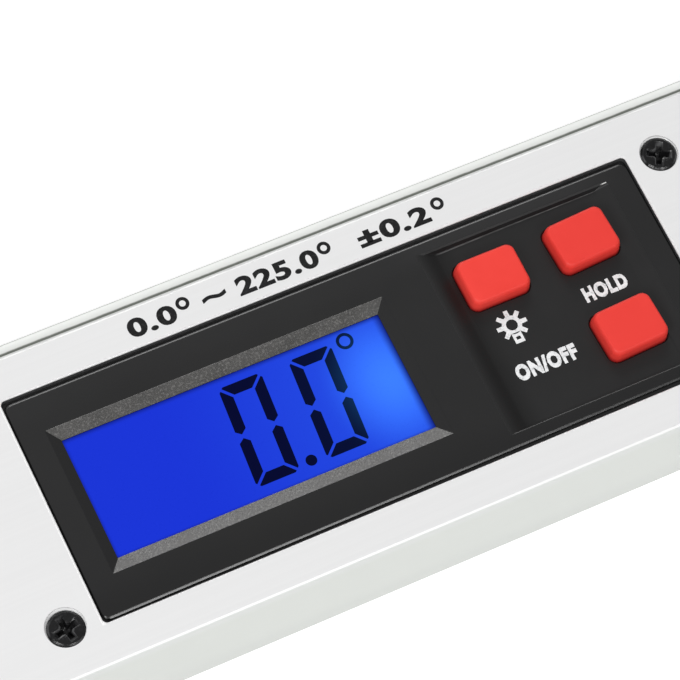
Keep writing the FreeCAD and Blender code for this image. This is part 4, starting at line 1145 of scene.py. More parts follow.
def lettering(name: str, text: str, across: Point2, up: Point2, z: float, weight: float,
              spacing: float, fray: float = 0.0) -> bpy.types.Mesh:
    """Flat letters that fill a rectangle.

    Args:
        name: name of the mesh.
        text: the letters.
        across: lowest and highest X.
        up: lowest and highest Y.
        z: height of the surface they lie on.
        weight: how much bolder than the plain face, as a share of its size.
        spacing: distance from letter to letter, as a share of the usual one.
        fray: how far the outlines stray.

    Returns:
        A thin mesh that stands on the surface.
    """
    curve = bpy.data.curves.new(name, "FONT")
    curve.body = text
    curve.offset = weight
    curve.space_character = spacing
    curve.resolution_u = 5
    holder = bpy.data.objects.new(name, curve)
    bpy.context.scene.collection.objects.link(holder)
    bpy.context.view_layer.update()
    seen = holder.evaluated_get(bpy.context.evaluated_depsgraph_get())
    mesh = bpy.data.meshes.new_from_object(seen)
    bpy.data.objects.remove(holder)
    xs = [vertex.co.x for vertex in mesh.vertices]
    ys = [vertex.co.y for vertex in mesh.vertices]
    left, foot = min(xs), min(ys)
    wide = (across[1] - across[0]) / (max(xs) - left)
    tall = (up[1] - up[0]) / (max(ys) - foot)
    bm = bmesh.new()
    bm.from_mesh(mesh)
    for vertex in bm.verts:
        vertex.co = Vector((across[0] + (vertex.co.x - left) * wide, up[0] + (vertex.co.y - foot) * tall,
                            z + INK_THICKNESS)) * MM
    bmesh.ops.remove_doubles(bm, verts=bm.verts, dist=1e-7)
    if fray:
        frayed(bm, FRAY_STEP * MM, fray * MM)
    raised = bmesh.ops.extrude_face_region(bm, geom=bm.faces[:])
    for item in raised["geom"]:
        if isinstance(item, bmesh.types.BMVert):
            item.co.z -= INK_THICKNESS * MM
    ordered(bm)
    bmesh.ops.recalc_face_normals(bm, faces=bm.faces)
    bm.to_mesh(mesh)
    bm.free()
    return mesh


# ---- Patterns ----

class Pattern(Wiring):
    """A Geometry Nodes tree that repeats one thing, with named inputs."""

    def __init__(self, name: str) -> None:
        """Starts the tree with its geometry in and out, the thing and its finish.

        Args:
            name: name of the tree.
        """
        super().__init__(bpy.data.node_groups.new(name, "GeometryNodeTree"))
        self.tree.interface.new_socket("Geometry", in_out="OUTPUT", socket_type="NodeSocketGeometry")
        self.takes("Geometry", "NodeSocketGeometry")
        self.takes("Thing", "NodeSocketObject")
        self.takes("Finish", "NodeSocketMaterial")

    def takes(self, name: str, kind: str) -> None:
        """Adds a named input."""
        self.tree.interface.new_socket(name, in_out="INPUT", socket_type=kind)

    def inputs(self) -> bpy.types.Node:
        """Gives the node that holds the tree's inputs."""
        return self.tree.nodes.get("Group Input") or self.node("NodeGroupInput")

    def close(self, points: bpy.types.NodeSocket, turn: Union[Point3, bpy.types.NodeSocket]) -> None:
        """Puts the thing on points, makes it real and gives it its finish.

        Args:
            points: socket with the points' geometry.
            turn: rotation at each point, or one for all.
        """
        source = self.inputs()
        thing = self.node("GeometryNodeObjectInfo", None, {"Object": source.outputs["Thing"]})
        placed = self.node("GeometryNodeInstanceOnPoints", None,
                           {"Points": points, "Instance": thing.outputs["Geometry"], "Rotation": turn})
        real = self.node("GeometryNodeRealizeInstances", None, {0: placed.outputs[0]})
        done = self.node("GeometryNodeSetMaterial", None,
                         {"Geometry": real.outputs[0], "Material": source.outputs["Finish"]})
        self.node("NodeGroupOutput", None, {0: done.outputs[0]})

    def baked(self, name: str, base: bpy.types.Mesh, thing: bpy.types.Mesh, finish: Coating,
              numbers: Optional[dict[str, Any]] = None) -> bpy.types.Mesh:
        """Runs the tree and gives its plain mesh.

        Args:
            name: name of the mesh.
            base: geometry that goes in.
            thing: mesh that is repeated.
            finish: finish of the result.
            numbers: values of the other inputs, by name.

        Returns:
            The mesh with everything made real.
        """
        scene = bpy.context.scene
        original = bpy.data.objects.new(name + "_thing", thing)
        holder = bpy.data.objects.new(name + "_holder", base)
        scene.collection.objects.link(original)
        scene.collection.objects.link(holder)
        modifier = holder.modifiers.new("Pattern", "NODES")
        modifier.node_group = self.tree
        values = {"Thing": original, "Finish": finish.material(), **(numbers or {})}
        for item in self.tree.interface.items_tree:
            if item.item_type == "SOCKET" and item.in_out == "INPUT" and item.name in values:
                modifier[item.identifier] = values[item.name]
        bpy.context.view_layer.update()
        graph = bpy.context.evaluated_depsgraph_get()
        mesh = bpy.data.meshes.new_from_object(holder.evaluated_get(graph), depsgraph=graph)
        mesh.name = name
        holder.modifiers.remove(modifier)
        bpy.data.objects.remove(holder)
        bpy.data.objects.remove(original)
        return mesh


def on_points_pattern() -> Pattern:
    """Builds the tree that puts the thing on each point, turned as the point's "turn" says.

    Returns:
        The pattern.
    """
    pattern = Pattern("Things_on_points")
    turn = pattern.node("GeometryNodeInputNamedAttribute", {"data_type": "FLOAT_VECTOR"}, {"Name": "turn"})
    pattern.close(pattern.inputs().outputs["Geometry"], turn.outputs["Attribute"])
    return pattern


def in_row_pattern() -> Pattern:
    """Builds the tree that puts the thing in a straight row, with a count, a start and a step.

    Returns:
        The pattern.
    """
    pattern = Pattern("Things_in_a_row")
    pattern.takes("Count", "NodeSocketInt")
    pattern.takes("Start", "NodeSocketVector")
    pattern.takes("Step", "NodeSocketVector")
    source = pattern.inputs()
    line = pattern.node("GeometryNodeMeshLine", {"mode": "OFFSET"},
                        {"Count": source.outputs["Count"], "Start Location": source.outputs["Start"],
                         "Offset": source.outputs["Step"]})
    pattern.close(line.outputs[0], (0.0, 0.0, 0.0))
    return pattern


def round_circle_pattern() -> Pattern:
    """Builds the tree that puts the thing round an upright axis, turned to face outwards.

    Returns:
        The pattern.
    """
    pattern = Pattern("Things_round_a_circle")
    pattern.takes("Count", "NodeSocketInt")
    pattern.takes("Radius", "NodeSocketFloat")
    pattern.takes("Centre", "NodeSocketVector")
    source = pattern.inputs()
    ring = pattern.node("GeometryNodeMeshCircle", None,
                        {"Vertices": source.outputs["Count"], "Radius": source.outputs["Radius"]})
    moved = pattern.node("GeometryNodeTransform", None,
                         {"Geometry": ring.outputs[0], "Translation": source.outputs["Centre"]})
    index = pattern.value("GeometryNodeInputIndex")
    step = 2 * math.pi / Value(pattern, source.outputs["Count"])
    turn = pattern.node("ShaderNodeCombineXYZ", None, {"Z": index * step})
    pattern.close(moved.outputs[0], turn.outputs[0])
    return pattern


# ---- Base arm ----

@dataclass
class Arms:
    """The two arms' solids and the numbers marked beside the display."""

    words: tuple[tuple[str, Point2, Point2], ...] = (
        ("0.0", (-103.9, -96.3), (18.0, 21.0)), ("~", (-92.1, -88.3), (19.05, 20.1)),
        ("225.0", (-86.6, -73.6), (18.0, 21.0)), ("\u00b10.2", (-67.0, -55.4), (18.0, 21.0)))
    rings: tuple[float, ...] = (-94.9, -72.2, -53.6)
    ring_y: float = 20.35
    ring_radii: Point2 = (1.02, 0.5)
    face_z: float = 21.6
    weight: float = 0.04
    spacing: float = 1.1

    def dress(self, nodes: dict[str, bpy.types.Object]) -> None:
        """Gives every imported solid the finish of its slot, and the folding arm its own paint.

        Args:
            nodes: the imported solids, by name.
        """
        for name, node in nodes.items():
            for place in node.material_slots:
                label = place.material.name.split(".")[0]
                place.material = SLOT_FINISHES[Slot(label)].material()
            log.info("%s dressed", name)
        nodes["folding_arm"].material_slots[0].material = ARM_PAINT.material()

    def build(self) -> None:
        """Makes the marking on the face: its numbers, then their degree rings."""
        for index, (word, across, up) in enumerate(self.words):
            name = f"Range_marking_{index + 1}"
            mesh = lettering(name, word, across, up, self.face_z, self.weight, self.spacing)
            settled(shown(name, mesh, [MARK_INK]), Body.BASE, Slot.BLACK_PLASTIC)
        shell = Shell()
        outer, inner = self.ring_radii
        for x in self.rings:
            shell.band(circle(outer, 32, x, self.ring_y), circle(inner, 32, x, self.ring_y), self.face_z)
        settled(shown("Range_marking_rings", shell.mesh("rings"), [MARK_INK]), Body.BASE, Slot.BLACK_PLASTIC)


# ---- Display module ----

@dataclass
class ButtonPlace:
    """Where a button sits, how far it is turned in degrees, its size and its names."""

    name: str
    body: Body
    centre: Point2
    twist: float
    width: float
    height: float

    def outline(self, grown: float, radius: float) -> Outline:
        """Outline of the button.

        Args:
            grown: how much larger it is on each side.
            radius: its corners' radius.

        Returns:
            The outline, turned as the button is.
        """
        x, y = self.centre
        half_x, half_y = self.width / 2 + grown, self.height / 2 + grown
        square = rounded(x - half_x, x + half_x, y - half_y, y + half_y, radius)
        return twisted(square, self.twist, self.centre)


BUTTONS = (
    ButtonPlace("light_button", Body.LIGHT_BUTTON, (-51.32, 6.54), twist=0.0, width=9.66, height=7.54),
    ButtonPlace("hold_button", Body.HOLD_BUTTON, (-36.32, 6.74), twist=3.0, width=9.74, height=7.7),
    ButtonPlace("power_button", Body.POWER_BUTTON, (-36.25, -8.52), twist=2.5, width=9.66, height=7.7))


@dataclass
class Bezel:
    """Bezel with its window frame, the sunk pad, the button holes and the hollow behind them."""

    plug: Box = (-125.0, -24.4, -19.41, 16.29)
    ears: Box = (-134.7, -14.7, -23.05, 17.55)
    hollow: Box = (-124.0, -25.4, -18.41, 15.29)
    window: Box = (-121.0, -67.5, -13.21, 10.09)
    sight: Box = (-119.3, -69.2, -11.21, 8.09)
    pocket: Box = (-120.9, -67.6, -12.81, 9.69)
    ear_corner: float = 0.4
    frame_corner: float = 0.3
    sight_corner: float = 0.15
    slopes: tuple[Point2, ...] = ((-0.04, 0.0), (0.025, 0.11), (0.97, 0.975), (1.0, 1.0))
    strip_slope: float = 1.2
    brows: Point2 = (-60.1, -28.3)
    feet: Point2 = (-56.45, -31.1)
    rear_z: float = 13.3
    under_z: float = 19.25
    wall_z: float = 19.6
    screen_z: float = 20.2
    drop_z: float = 20.45
    flat_z: float = 21.1
    ledge: float = 0.18
    ledge_z: float = 20.5
    lean: float = 0.42
    facets: tuple[tuple[float, float, float, float, float], ...] = (
        (0.6, 0.05, 0.26, 0.05, 1.2), (0.55, 0.05, 0.26, 0.08, 1.2), (0.35, 0.05, 0.26, 0.17, 1.2),
        (0.19, 0.05, 0.26, 0.3, 1.15), (0.1, 0.11, 0.43, 0.47, 1.05), (0.035, 0.16, 0.55, 0.67, 0.95),
        (0.012, 0.2, 0.62, 0.74, 0.9), (0.0, 0.26, 0.72, 0.84, 0.8))
    lower_step: tuple[Point2, ...] = ((0.0, -16.91), (0.051, -16.76), (0.606, -16.76), (0.65, -16.63))
    upper_step: tuple[Point2, ...] = ((0.0, 14.07), (0.13, 13.78), (0.575, 13.42), (0.65, 13.26))
    pad_falls: tuple[float, ...] = (0.015, 0.03, 0.16, 0.22, 0.29, 0.36, 0.43, 0.49, 0.54)
    pad_corner: float = 0.12
    riser_slope: float = 0.6
    corner: float = 0.55
    hole_play: float = 0.22
    hole_corner: float = 1.35
    hole_spread: float = 0.12
    hole_edge: tuple[Point2, ...] = ((0.0, 0.0), (0.08, 0.04), (0.12, 0.12))
    crease: float = 17.0

    def build(self) -> None:
        """Makes the bezel from its rings and plates."""
        shell = Shell()
        ear_low = shell.ring(rounded(*self.ears, self.ear_corner), self.rear_z)
        ear_top = shell.ring(rounded(*self.ears, self.ear_corner), self.wall_z)
        rim = self._rim(shell)
        hollow_low = shell.ring(rounded(*self.hollow, self.ear_corner), self.rear_z)
        hollow_top = shell.ring(rounded(*self.hollow, self.ear_corner), self.under_z)
        shell.wall(ear_low, ear_top)
        shell.walls(rim)
        shell.wall(hollow_low, hollow_top)
        shell.plate(ear_low, [hollow_low])
        shell.plate(ear_top, [rim[0]])
        window_top, pocket_low = self._window(shell)
        pad_top, pad_low = self._pad(shell)
        shell.plate(rim[-1], [window_top, pad_top])
        hole_tops, hole_lows = self._holes(shell)
        shell.plate(pad_low, hole_tops, 2)
        shell.plate(hollow_top, [pocket_low, *hole_lows])
        piece = shown("Display_bezel_detailed", shell.mesh("bezel"),
                      [BEZEL_SMOOTH, BEZEL_GRAINED, BEZEL_PAD, BEZEL_RISER_SHADE], self.crease)
        settled(piece, Body.BASE, Slot.BEZEL_PLASTIC, "display_bezel")

    @staticmethod
    def _inset(box: Box, amount: float) -> Box:
        """Box smaller by amount on each side."""
        left, right, low, high = box
        return left + amount, right - amount, low + amount, high - amount

    def _rim(self, shell: Shell) -> list[Ring]:
        """Edge of the bezel: a ledge low in the gap round it, then the facets up to the flat.

        Args:
            shell: shell that the rings belong to.

        Returns:
            The rings, from the outside in.
        """
        outer = self.corner + self.ledge
        rings = [shell.ring(rounded(*self._inset(self.plug, -self.ledge), outer), z)
                 for z in (self.wall_z, self.ledge_z)]
        left, right, low, high = self.plug
        for drop, side, below, above, corner in self.facets:
            outline = rounded(left + side, right - side, low + below, high - above, corner)
            leaned = [(x, y + self.lean * (x - left) / (right - left) * (y < 0.0)) for x, y in outline]
            rings.append(shell.ring(leaned, self.flat_z - drop))
        return rings

    def _window(self, shell: Shell) -> tuple[Ring, Ring]:
        """Sloping frame, lip and pocket of the screen, with grained strips above and below it.

        Args:
            shell: shell that the rings belong to.

        Returns:
            The ring at the flat's edge and the pocket's lowest ring.
        """
        rings = []
        depth = self.flat_z - self.drop_z
        for share, fall in self.slopes:
            spans = [a + (b - a) * share for a, b in zip(self.window, self.sight)]
            corner = self.frame_corner - (self.frame_corner - self.sight_corner) * max(share, 0.0)
            rings.append(shell.ring(rounded(*spans, corner, 3), self.flat_z - depth * fall))
        for first, second in zip(rings, rings[1:]):
            for face in shell.wall(first, second):
                face.normal_update()
                if abs(face.normal.y) > abs(face.normal.x) * self.strip_slope:
                    face.material_index = 1
        lip = shell.ring(rounded(*self.sight, self.sight_corner, 3), self.screen_z)
        ledge = shell.ring(rounded(*self.pocket, self.frame_corner, 3), self.screen_z)
        low = shell.ring(rounded(*self.pocket, self.frame_corner, 3), self.under_z)
        shell.walls([rings[-1], lip, ledge, low])
        return rings[0], low

    def _pad(self, shell: Shell) -> tuple[Ring, Ring]:
        """Sunk pad with a ramp at each side and a step at its upper and lower edge.

        Args:
            shell: shell that the rings belong to.

        Returns:
            The ring at the flat's edge and the ring at the floor's edge.
        """
        depth = self.flat_z - self.drop_z
        falls = {*self.pad_falls, *(fall for fall, _ in (*self.lower_step, *self.upper_step))}
        rings = []
        for fall in sorted(falls):
            share = 0.5 - math.sin(math.asin(1 - 2 * fall / depth) / 3)
            sides = [brow + (foot - brow) * share for brow, foot in zip(self.brows, self.feet)]
            low, high = self._step(self.lower_step, fall), self._step(self.upper_step, fall)
            rings.append(shell.ring(rounded(*sides, low, high, self.pad_corner, 3), self.flat_z - fall))
        for first, second in zip(rings, rings[1:]):
            for face in shell.wall(first, second, 2):
                face.normal_update()
                # the upper step's riser takes the painted-shade plastic
                if abs(face.normal.y) > self.riser_slope and face.calc_center_median().y > 0.0:
                    face.material_index = 3
        return rings[0], rings[-1]

    @staticmethod
    def _step(section: Sequence[Point2], fall: float) -> float:
        """Place of a step at one depth.

        Args:
            section: pairs of depth and Y, from the flat down.
            fall: depth below the flat.

        Returns:
            Y at that depth.
        """
        for (above, start), (below, end) in zip(section, section[1:]):
            if fall <= below:
                return start + (end - start) * (fall - above) / (below - above)
        return section[-1][1]

    def _holes(self, shell: Shell) -> tuple[list[Ring], list[Ring]]:
        """Button holes with a soft upper edge.

        Args:
            shell: shell that the rings belong to.

        Returns:
            The holes' upper rings and their lower rings.
        """
        tops, lows = [], []
        radius, spread = self.hole_corner + self.hole_play, self.hole_play + self.hole_spread
        for place in BUTTONS:
            rings = [shell.ring(place.outline(spread - inset, radius), self.drop_z - fall)
                     for inset, fall in self.hole_edge]
            rings.append(shell.ring(place.outline(self.hole_play, radius), self.under_z))
            shell.walls(rings)
            tops.append(rings[0])
            lows.append(rings[-1])
        return tops, lows


@dataclass
class Reading:
    """Seven-segment reading on the screen: two digits, a point and a degree ring."""

    z: float = 20.2
    width: float = 6.8
    height: float = 16.0
    stroke: float = 1.7
    gap: float = 0.42
    middle_gap: float = 0.6
    blunt: float = 0.42
    chamfer: float = 0.42
    chamfer_share: float = 0.9
    lean: float = 1.25
    low: float = -25.88
    lefts: Point2 = (28.4, 39.55)
    dot: Point3 = (37.3, -25.1, 0.85)
    degree: Box = (49.78, -10.25, 1.3, 0.82)

    def build(self) -> None:
        """Makes the segments, the point and the ring as one thin mesh."""
        shell = Shell()
        for left in self.lefts:
            for segment in self._zero():
                self._prism(shell, [self._placed(left, point) for point in segment])
        x, y, radius = self.dot
        self._prism(shell, [self._moved(point) for point in circle(radius, 24, x, y)])
        x, y, outer, inner = self.degree
        self._ring(shell, (x, y), outer, inner)
        piece = shown("Screen_reading", shell.mesh("reading"), [DIGIT_INK])
        settled(piece, Body.BASE, Slot.SCREEN_BLUE)

    def _zero(self) -> list[Outline]:
        """Six segments of a nought, upright, from its lower left corner.

        Returns:
            Their outlines.
        """
        w, h, t, g, b = self.width, self.height, self.stroke, self.gap * DIAGONAL, self.blunt
        middle, chamfer = (h + self.middle_gap) / 2, t * self.chamfer
        top = [(g + b, h), (w - g - b, h), (w - g - b / 2, h - b / 2), (w - t - g, h - t), (t + g, h - t),
               (g + b / 2, h - b / 2)]
        bottom = [(x, h - y) for x, y in top]
        left_top = [(0.0, h - g - b), (b / 2, h - g - b / 2), (t, h - t - g), (t, middle + chamfer),
                    (t / 2, middle), (0.0, middle + chamfer * self.chamfer_share)]
        left_low = [(x, h - y) for x, y in left_top]
        right_top = [(w - x, y) for x, y in left_top]
        right_low = [(w - x, y) for x, y in left_low]
        return [top, bottom, left_top, left_low, right_top, right_low]

    def _moved(self, point: Point2) -> Point2:
        """Point measured from the bezel's corner, in the tool's frame."""
        return BEZEL_CORNER[0] + point[0], BEZEL_CORNER[1] + point[1]

    def _placed(self, left: float, point: Point2) -> Point2:
        """Point of a digit, leaned and put in its place."""
        x, y = point
        return self._moved((left + x + self.lean * y / self.height, self.low + y))

    def _prism(self, shell: Shell, outline: Outline) -> None:
        """Thin prism on the screen.

        Args:
            shell: shell that it belongs to.
            outline: its outline, in the tool's frame.
        """
        low = shell.ring(outline, self.z)
        high = shell.ring(outline, self.z + INK_THICKNESS)
        shell.lid(low)
        shell.wall(low, high)
        shell.lid(high)

    def _ring(self, shell: Shell, centre: Point2, outer: float, inner: float) -> None:
        """Thin flat ring on the screen.

        Args:
            shell: shell that it belongs to.
            centre: its centre, from the bezel's corner.
            outer: its outer radius.
            inner: its inner radius.
        """
        x, y = self._moved(centre)
        top = self.z + INK_THICKNESS
        rings = [shell.ring(circle(radius, 32, x, y), height)
                 for radius, height in ((outer, self.z), (outer, top), (inner, top), (inner, self.z))]
        shell.walls(rings + rings[:1])


@dataclass
class Labels:
    """Printed function marks on the pad: two words and a lamp, placed from the bezel's corner."""

    z: float = 20.45
    hold: Box = (85.3, 92.4, -18.95, -16.45)
    power: Box = (70.4, 80.3, -26.3, -23.65)
    lamp: Point2 = (73.37, -17.65)
    lamp_outer: float = 1.5
    lamp_line: float = 0.62
    ray_reach: float = 2.4
    ray_width: float = 0.72
    ray_taper: float = 0.9
    rays: int = 8
    socket: Point3 = (-1.3, -3.0, 1.5)
    socket_hole: Point3 = (0.4, 0.55, 1.05)
    weight: float = 0.06
    spacing: float = 1.15
    fray: float = 0.06

    def build(self) -> None:
        """Makes the marks."""
        self._word("Hold_label", "HOLD", self.hold)
        self._word("Power_label", "ON/OFF", self.power)
        shell = Shell()
        self._lamp(shell)
        settled(shown("Lamp_label", shell.mesh("lamp"), [LABEL_INK]), Body.BASE, Slot.BEZEL_PLASTIC)

    def _word(self, name: str, text: str, box: Box) -> None:
        """Makes one word.

        Args:
            name: name of the piece.
            text: the word.
            box: lowest and highest X, then Y, that it fills.
        """
        x, y = BEZEL_CORNER
        across, up = (x + box[0], x + box[1]), (y + box[2], y + box[3])
        mesh = lettering(name, text, across, up, self.z, self.weight, self.spacing, self.fray)
        settled(shown(name, mesh, [LABEL_INK]), Body.BASE, Slot.BEZEL_PLASTIC)

    def _lamp(self, shell: Shell) -> None:
        """Draws the bulb with its rays, and the socket with a hole in it.

        Args:
            shell: shell that they belong to.
        """
        x, y = BEZEL_CORNER[0] + self.lamp[0], BEZEL_CORNER[1] + self.lamp[1]
        star = self._star(x, y)
        shell.band(star, circle(self.lamp_outer - self.lamp_line, len(star), x, y), self.z)
        high, low, width = self.socket
        left, right, foot = x - width / 2, x + width / 2, y + low
        frame = [(left, foot), (right, foot), (right, y + high), (left, y + high)]
        side, start, end = self.socket_hole
        hole = [(left + side, foot + start), (right - side, foot + start),
                (right - side, foot + end), (left + side, foot + end)]
        shell.band(frame, hole, self.z)

    def _star(self, x: float, y: float) -> Outline:
        """Outline of the bulb and the rays that grow out of it all round, but for the socket's place.

        Args:
            x: middle of the bulb.
            y: middle of the bulb.

        Returns:
            The outline.
        """
        points = []
        half = self.ray_width / 2
        tip = half * self.ray_taper
        lean = math.asin(half / self.lamp_outer)
        root = math.sqrt(self.lamp_outer ** 2 - half ** 2)
        for index in range(self.rays - 1):
            middle = math.radians(-90 + 360 * (index + 1) / self.rays)
            for reach, side in ((root, -half), (self.ray_reach, -tip), (self.ray_reach, tip), (root, half)):
                points.append((x + reach * math.cos(middle) - side * math.sin(middle),
                               y + reach * math.sin(middle) + side * math.cos(middle)))
            gap = 2 * math.pi / self.rays * (2 if index == self.rays - 2 else 1) - 2 * lean
            for step in range(1, 6):
                turn = middle + lean + gap * step / 6
                points.append((x + self.lamp_outer * math.cos(turn), y + self.lamp_outer * math.sin(turn)))
        return points


@dataclass
class ButtonCap:
    """Red cap with drafted sides, a round top edge and the flange under the bezel."""

    place: ButtonPlace
    flange_low: float = 18.4
    flange_top: float = 19.2
    top: float = 22.8
    flange: float = 0.9
    spread: float = 0.12
    shoulder: float = 20.3
    corner: float = 1.3
    draft: float = 0.03
    rounding: float = 0.58
    fall: float = 2.1
    corner_fall: float = 0.6
    dish: tuple[Point3, ...] = ((1.8, 0.6, 0.012), (2.9, 0.3, 0.02))
    crease: float = 30.0

    def build(self) -> None:
        """Makes the cap."""
        place = self.place
        foot = place.outline(self.flange, self.corner)
        side = place.outline(self.spread, self.corner + self.spread)
        outlines = [(foot, self.flange_low), (foot, self.flange_top), (side, self.flange_top),
                    (side, self.shoulder)]
        for inset, drop in round_over(self.rounding, 10):
            corner = self.corner - inset * self.corner_fall
            outlines.append((place.outline(-self.draft - inset, corner), self.top - drop * self.fall))
        for inset, corner, depth in self.dish:
            outlines.append((place.outline(-inset, corner), self.top - depth))
        mesh = stacked(outlines).mesh("cap")
        piece = shown(place.name.capitalize() + "_cap", mesh, [RED_MOULDED], self.crease)
        settled(piece, place.body, Slot.RED_PLASTIC, place.name)


# ---- Screws ----

@dataclass
class Screw:
    """Countersunk screw with a cross recess, its head's top at Z 0 and its end below."""

    radius: float
    head_radius: float
    length: float
    rim: float = 0.3
    count: int = 40
    end_share: float = 0.72
    end_length: float = 0.4
    head_edge: tuple[Point2, ...] = ((0.18, 0.5), (0.42, 0.0))
    recess: tuple[Point3, ...] = ((0.74, 0.26, 0.0), (0.66, 0.175, 0.055), (0.63, 0.165, 0.1),
                                  (0.32, 0.12, 0.5), (0.1, 0.06, 0.62))
    root: float = 1.55

    def mesh(self) -> bpy.types.Mesh:
        """Makes one screw at the origin.

        Returns:
            The mesh.
        """
        shell = Shell()
        head = self.head_radius
        profile = [(self.radius * self.end_share, -self.length), (self.radius, self.end_length - self.length),
                   (self.radius, self.radius - head - self.rim), (head, -self.rim)]
        profile += [(head - inset, -self.rim * share) for inset, share in self.head_edge]
        rings = [shell.ring(circle(radius, self.count), z) for radius, z in profile]
        shell.lid(rings[0])
        shell.walls(rings)
        cross = [shell.ring(self._cross(reach, half), -depth * head) for reach, half, depth in self.recess]
        shell.plate(rings[-1], [cross[0]])
        shell.walls(cross)
        shell.lid(cross[-1])
        return shell.mesh("screw")

    def _cross(self, reach: float, half: float) -> Outline:
        """Outline of the recess.

        Args:
            reach: length of an arm, as a share of the head's radius.
            half: half its width, as the same share.

        Returns:
            The outline, with its inner corners cut off.
        """
        reach, half = reach * self.head_radius, half * self.head_radius
        corner = min(half * self.root, reach)
        quarter = [(reach, -half), (reach, half), (corner, half), (half, corner)]
        points = []
        for index in range(4):
            points += twisted(quarter, 90 * index, (0.0, 0.0))
        return points


@dataclass
class Fasteners:
    """All the screws, one mesh for each set: where the heads are and how far each screw is turned."""

    pattern: Pattern
    large: Screw = field(default_factory=lambda: Screw(radius=1.5, head_radius=2.75, length=8.0))
    small: Screw = field(default_factory=lambda: Screw(radius=1.0, head_radius=1.9, length=5.0))
    crease: float = 32.0
    face: tuple[Point3, ...] = ((-130.27, -18.14, 21.4), (-130.27, 14.87, 21.4), (-18.92, -18.0, 21.4),
                                (-18.92, 14.89, 21.4))
    face_turns: tuple[float, ...] = (12.0, 74.0, 38.0, 63.0)
    end_cap: tuple[Point3, ...] = ((204.8, -12.925, 0.2), (204.8, 7.425, 0.2))
    end_cap_turns: Point2 = (20.0, 57.0)
    module: tuple[Point3, ...] = ((-130.35, -1.56, 11.7), (-19.05, -1.56, 11.7))
    module_turns: Point2 = (5.0, 48.0)
    knuckle: tuple[Point3, ...] = ((-157.36, 22.5, 19.3), (-146.03, 22.5, 19.3))
    knuckle_turns: Point2 = (31.0, 80.0)

    def build(self) -> None:
        """Makes every set."""
        self._set("Face_screws_detailed", self.large, self.face, self.face_turns, False, BLACK_METAL,
                  Body.BASE, Slot.BLACK_STEEL, "face_screws")
        self._set("End_cap_screws_detailed", self.large, self.end_cap, self.end_cap_turns, True, BLACK_METAL,
                  Body.BASE, Slot.BLACK_STEEL, "end_cap_screws")
        self._set("Module_screws_detailed", self.small, self.module, self.module_turns, True, PLAIN_STEEL,
                  Body.BASE, Slot.STEEL, "module_screws")
        self._set("Knuckle_screws_detailed", self.small, self.knuckle, self.knuckle_turns, False, PLAIN_STEEL,
                  Body.FOLDING_ARM, Slot.STEEL, "knuckle_screws")

    def _set(self, name: str, screw: Screw, places: Sequence[Point3], turns: Sequence[float], down: bool,
             finish: Coating, body: Body, slot: Slot, node: str) -> None:
        """Makes one set of screws.

        Args:
            name: name of the piece.
            screw: the screw that is repeated.
            places: middle of each head's top.
            turns: how far each screw is turned, in degrees.
            down: True where the heads face the back.
            finish: finish of the screws.
            body: body that they ride on.
            slot: their material slot.
            node: solid that they stand for.
        """
        base = bpy.data.meshes.new(name + "_points")
        base.from_pydata([Vector(place) * MM for place in places], [], [])
        turn = base.attributes.new("turn", "FLOAT_VECTOR", "POINT")
        flip = math.pi if down else 0.0
        for index, degrees in enumerate(turns):
            turn.data[index].vector = (flip, 0.0, math.radians(degrees))
        mesh = self.pattern.baked(name, base, screw.mesh(), finish)
        settled(shown(name, mesh, [finish], self.crease), body, slot, node)


# ---- Pivot ----

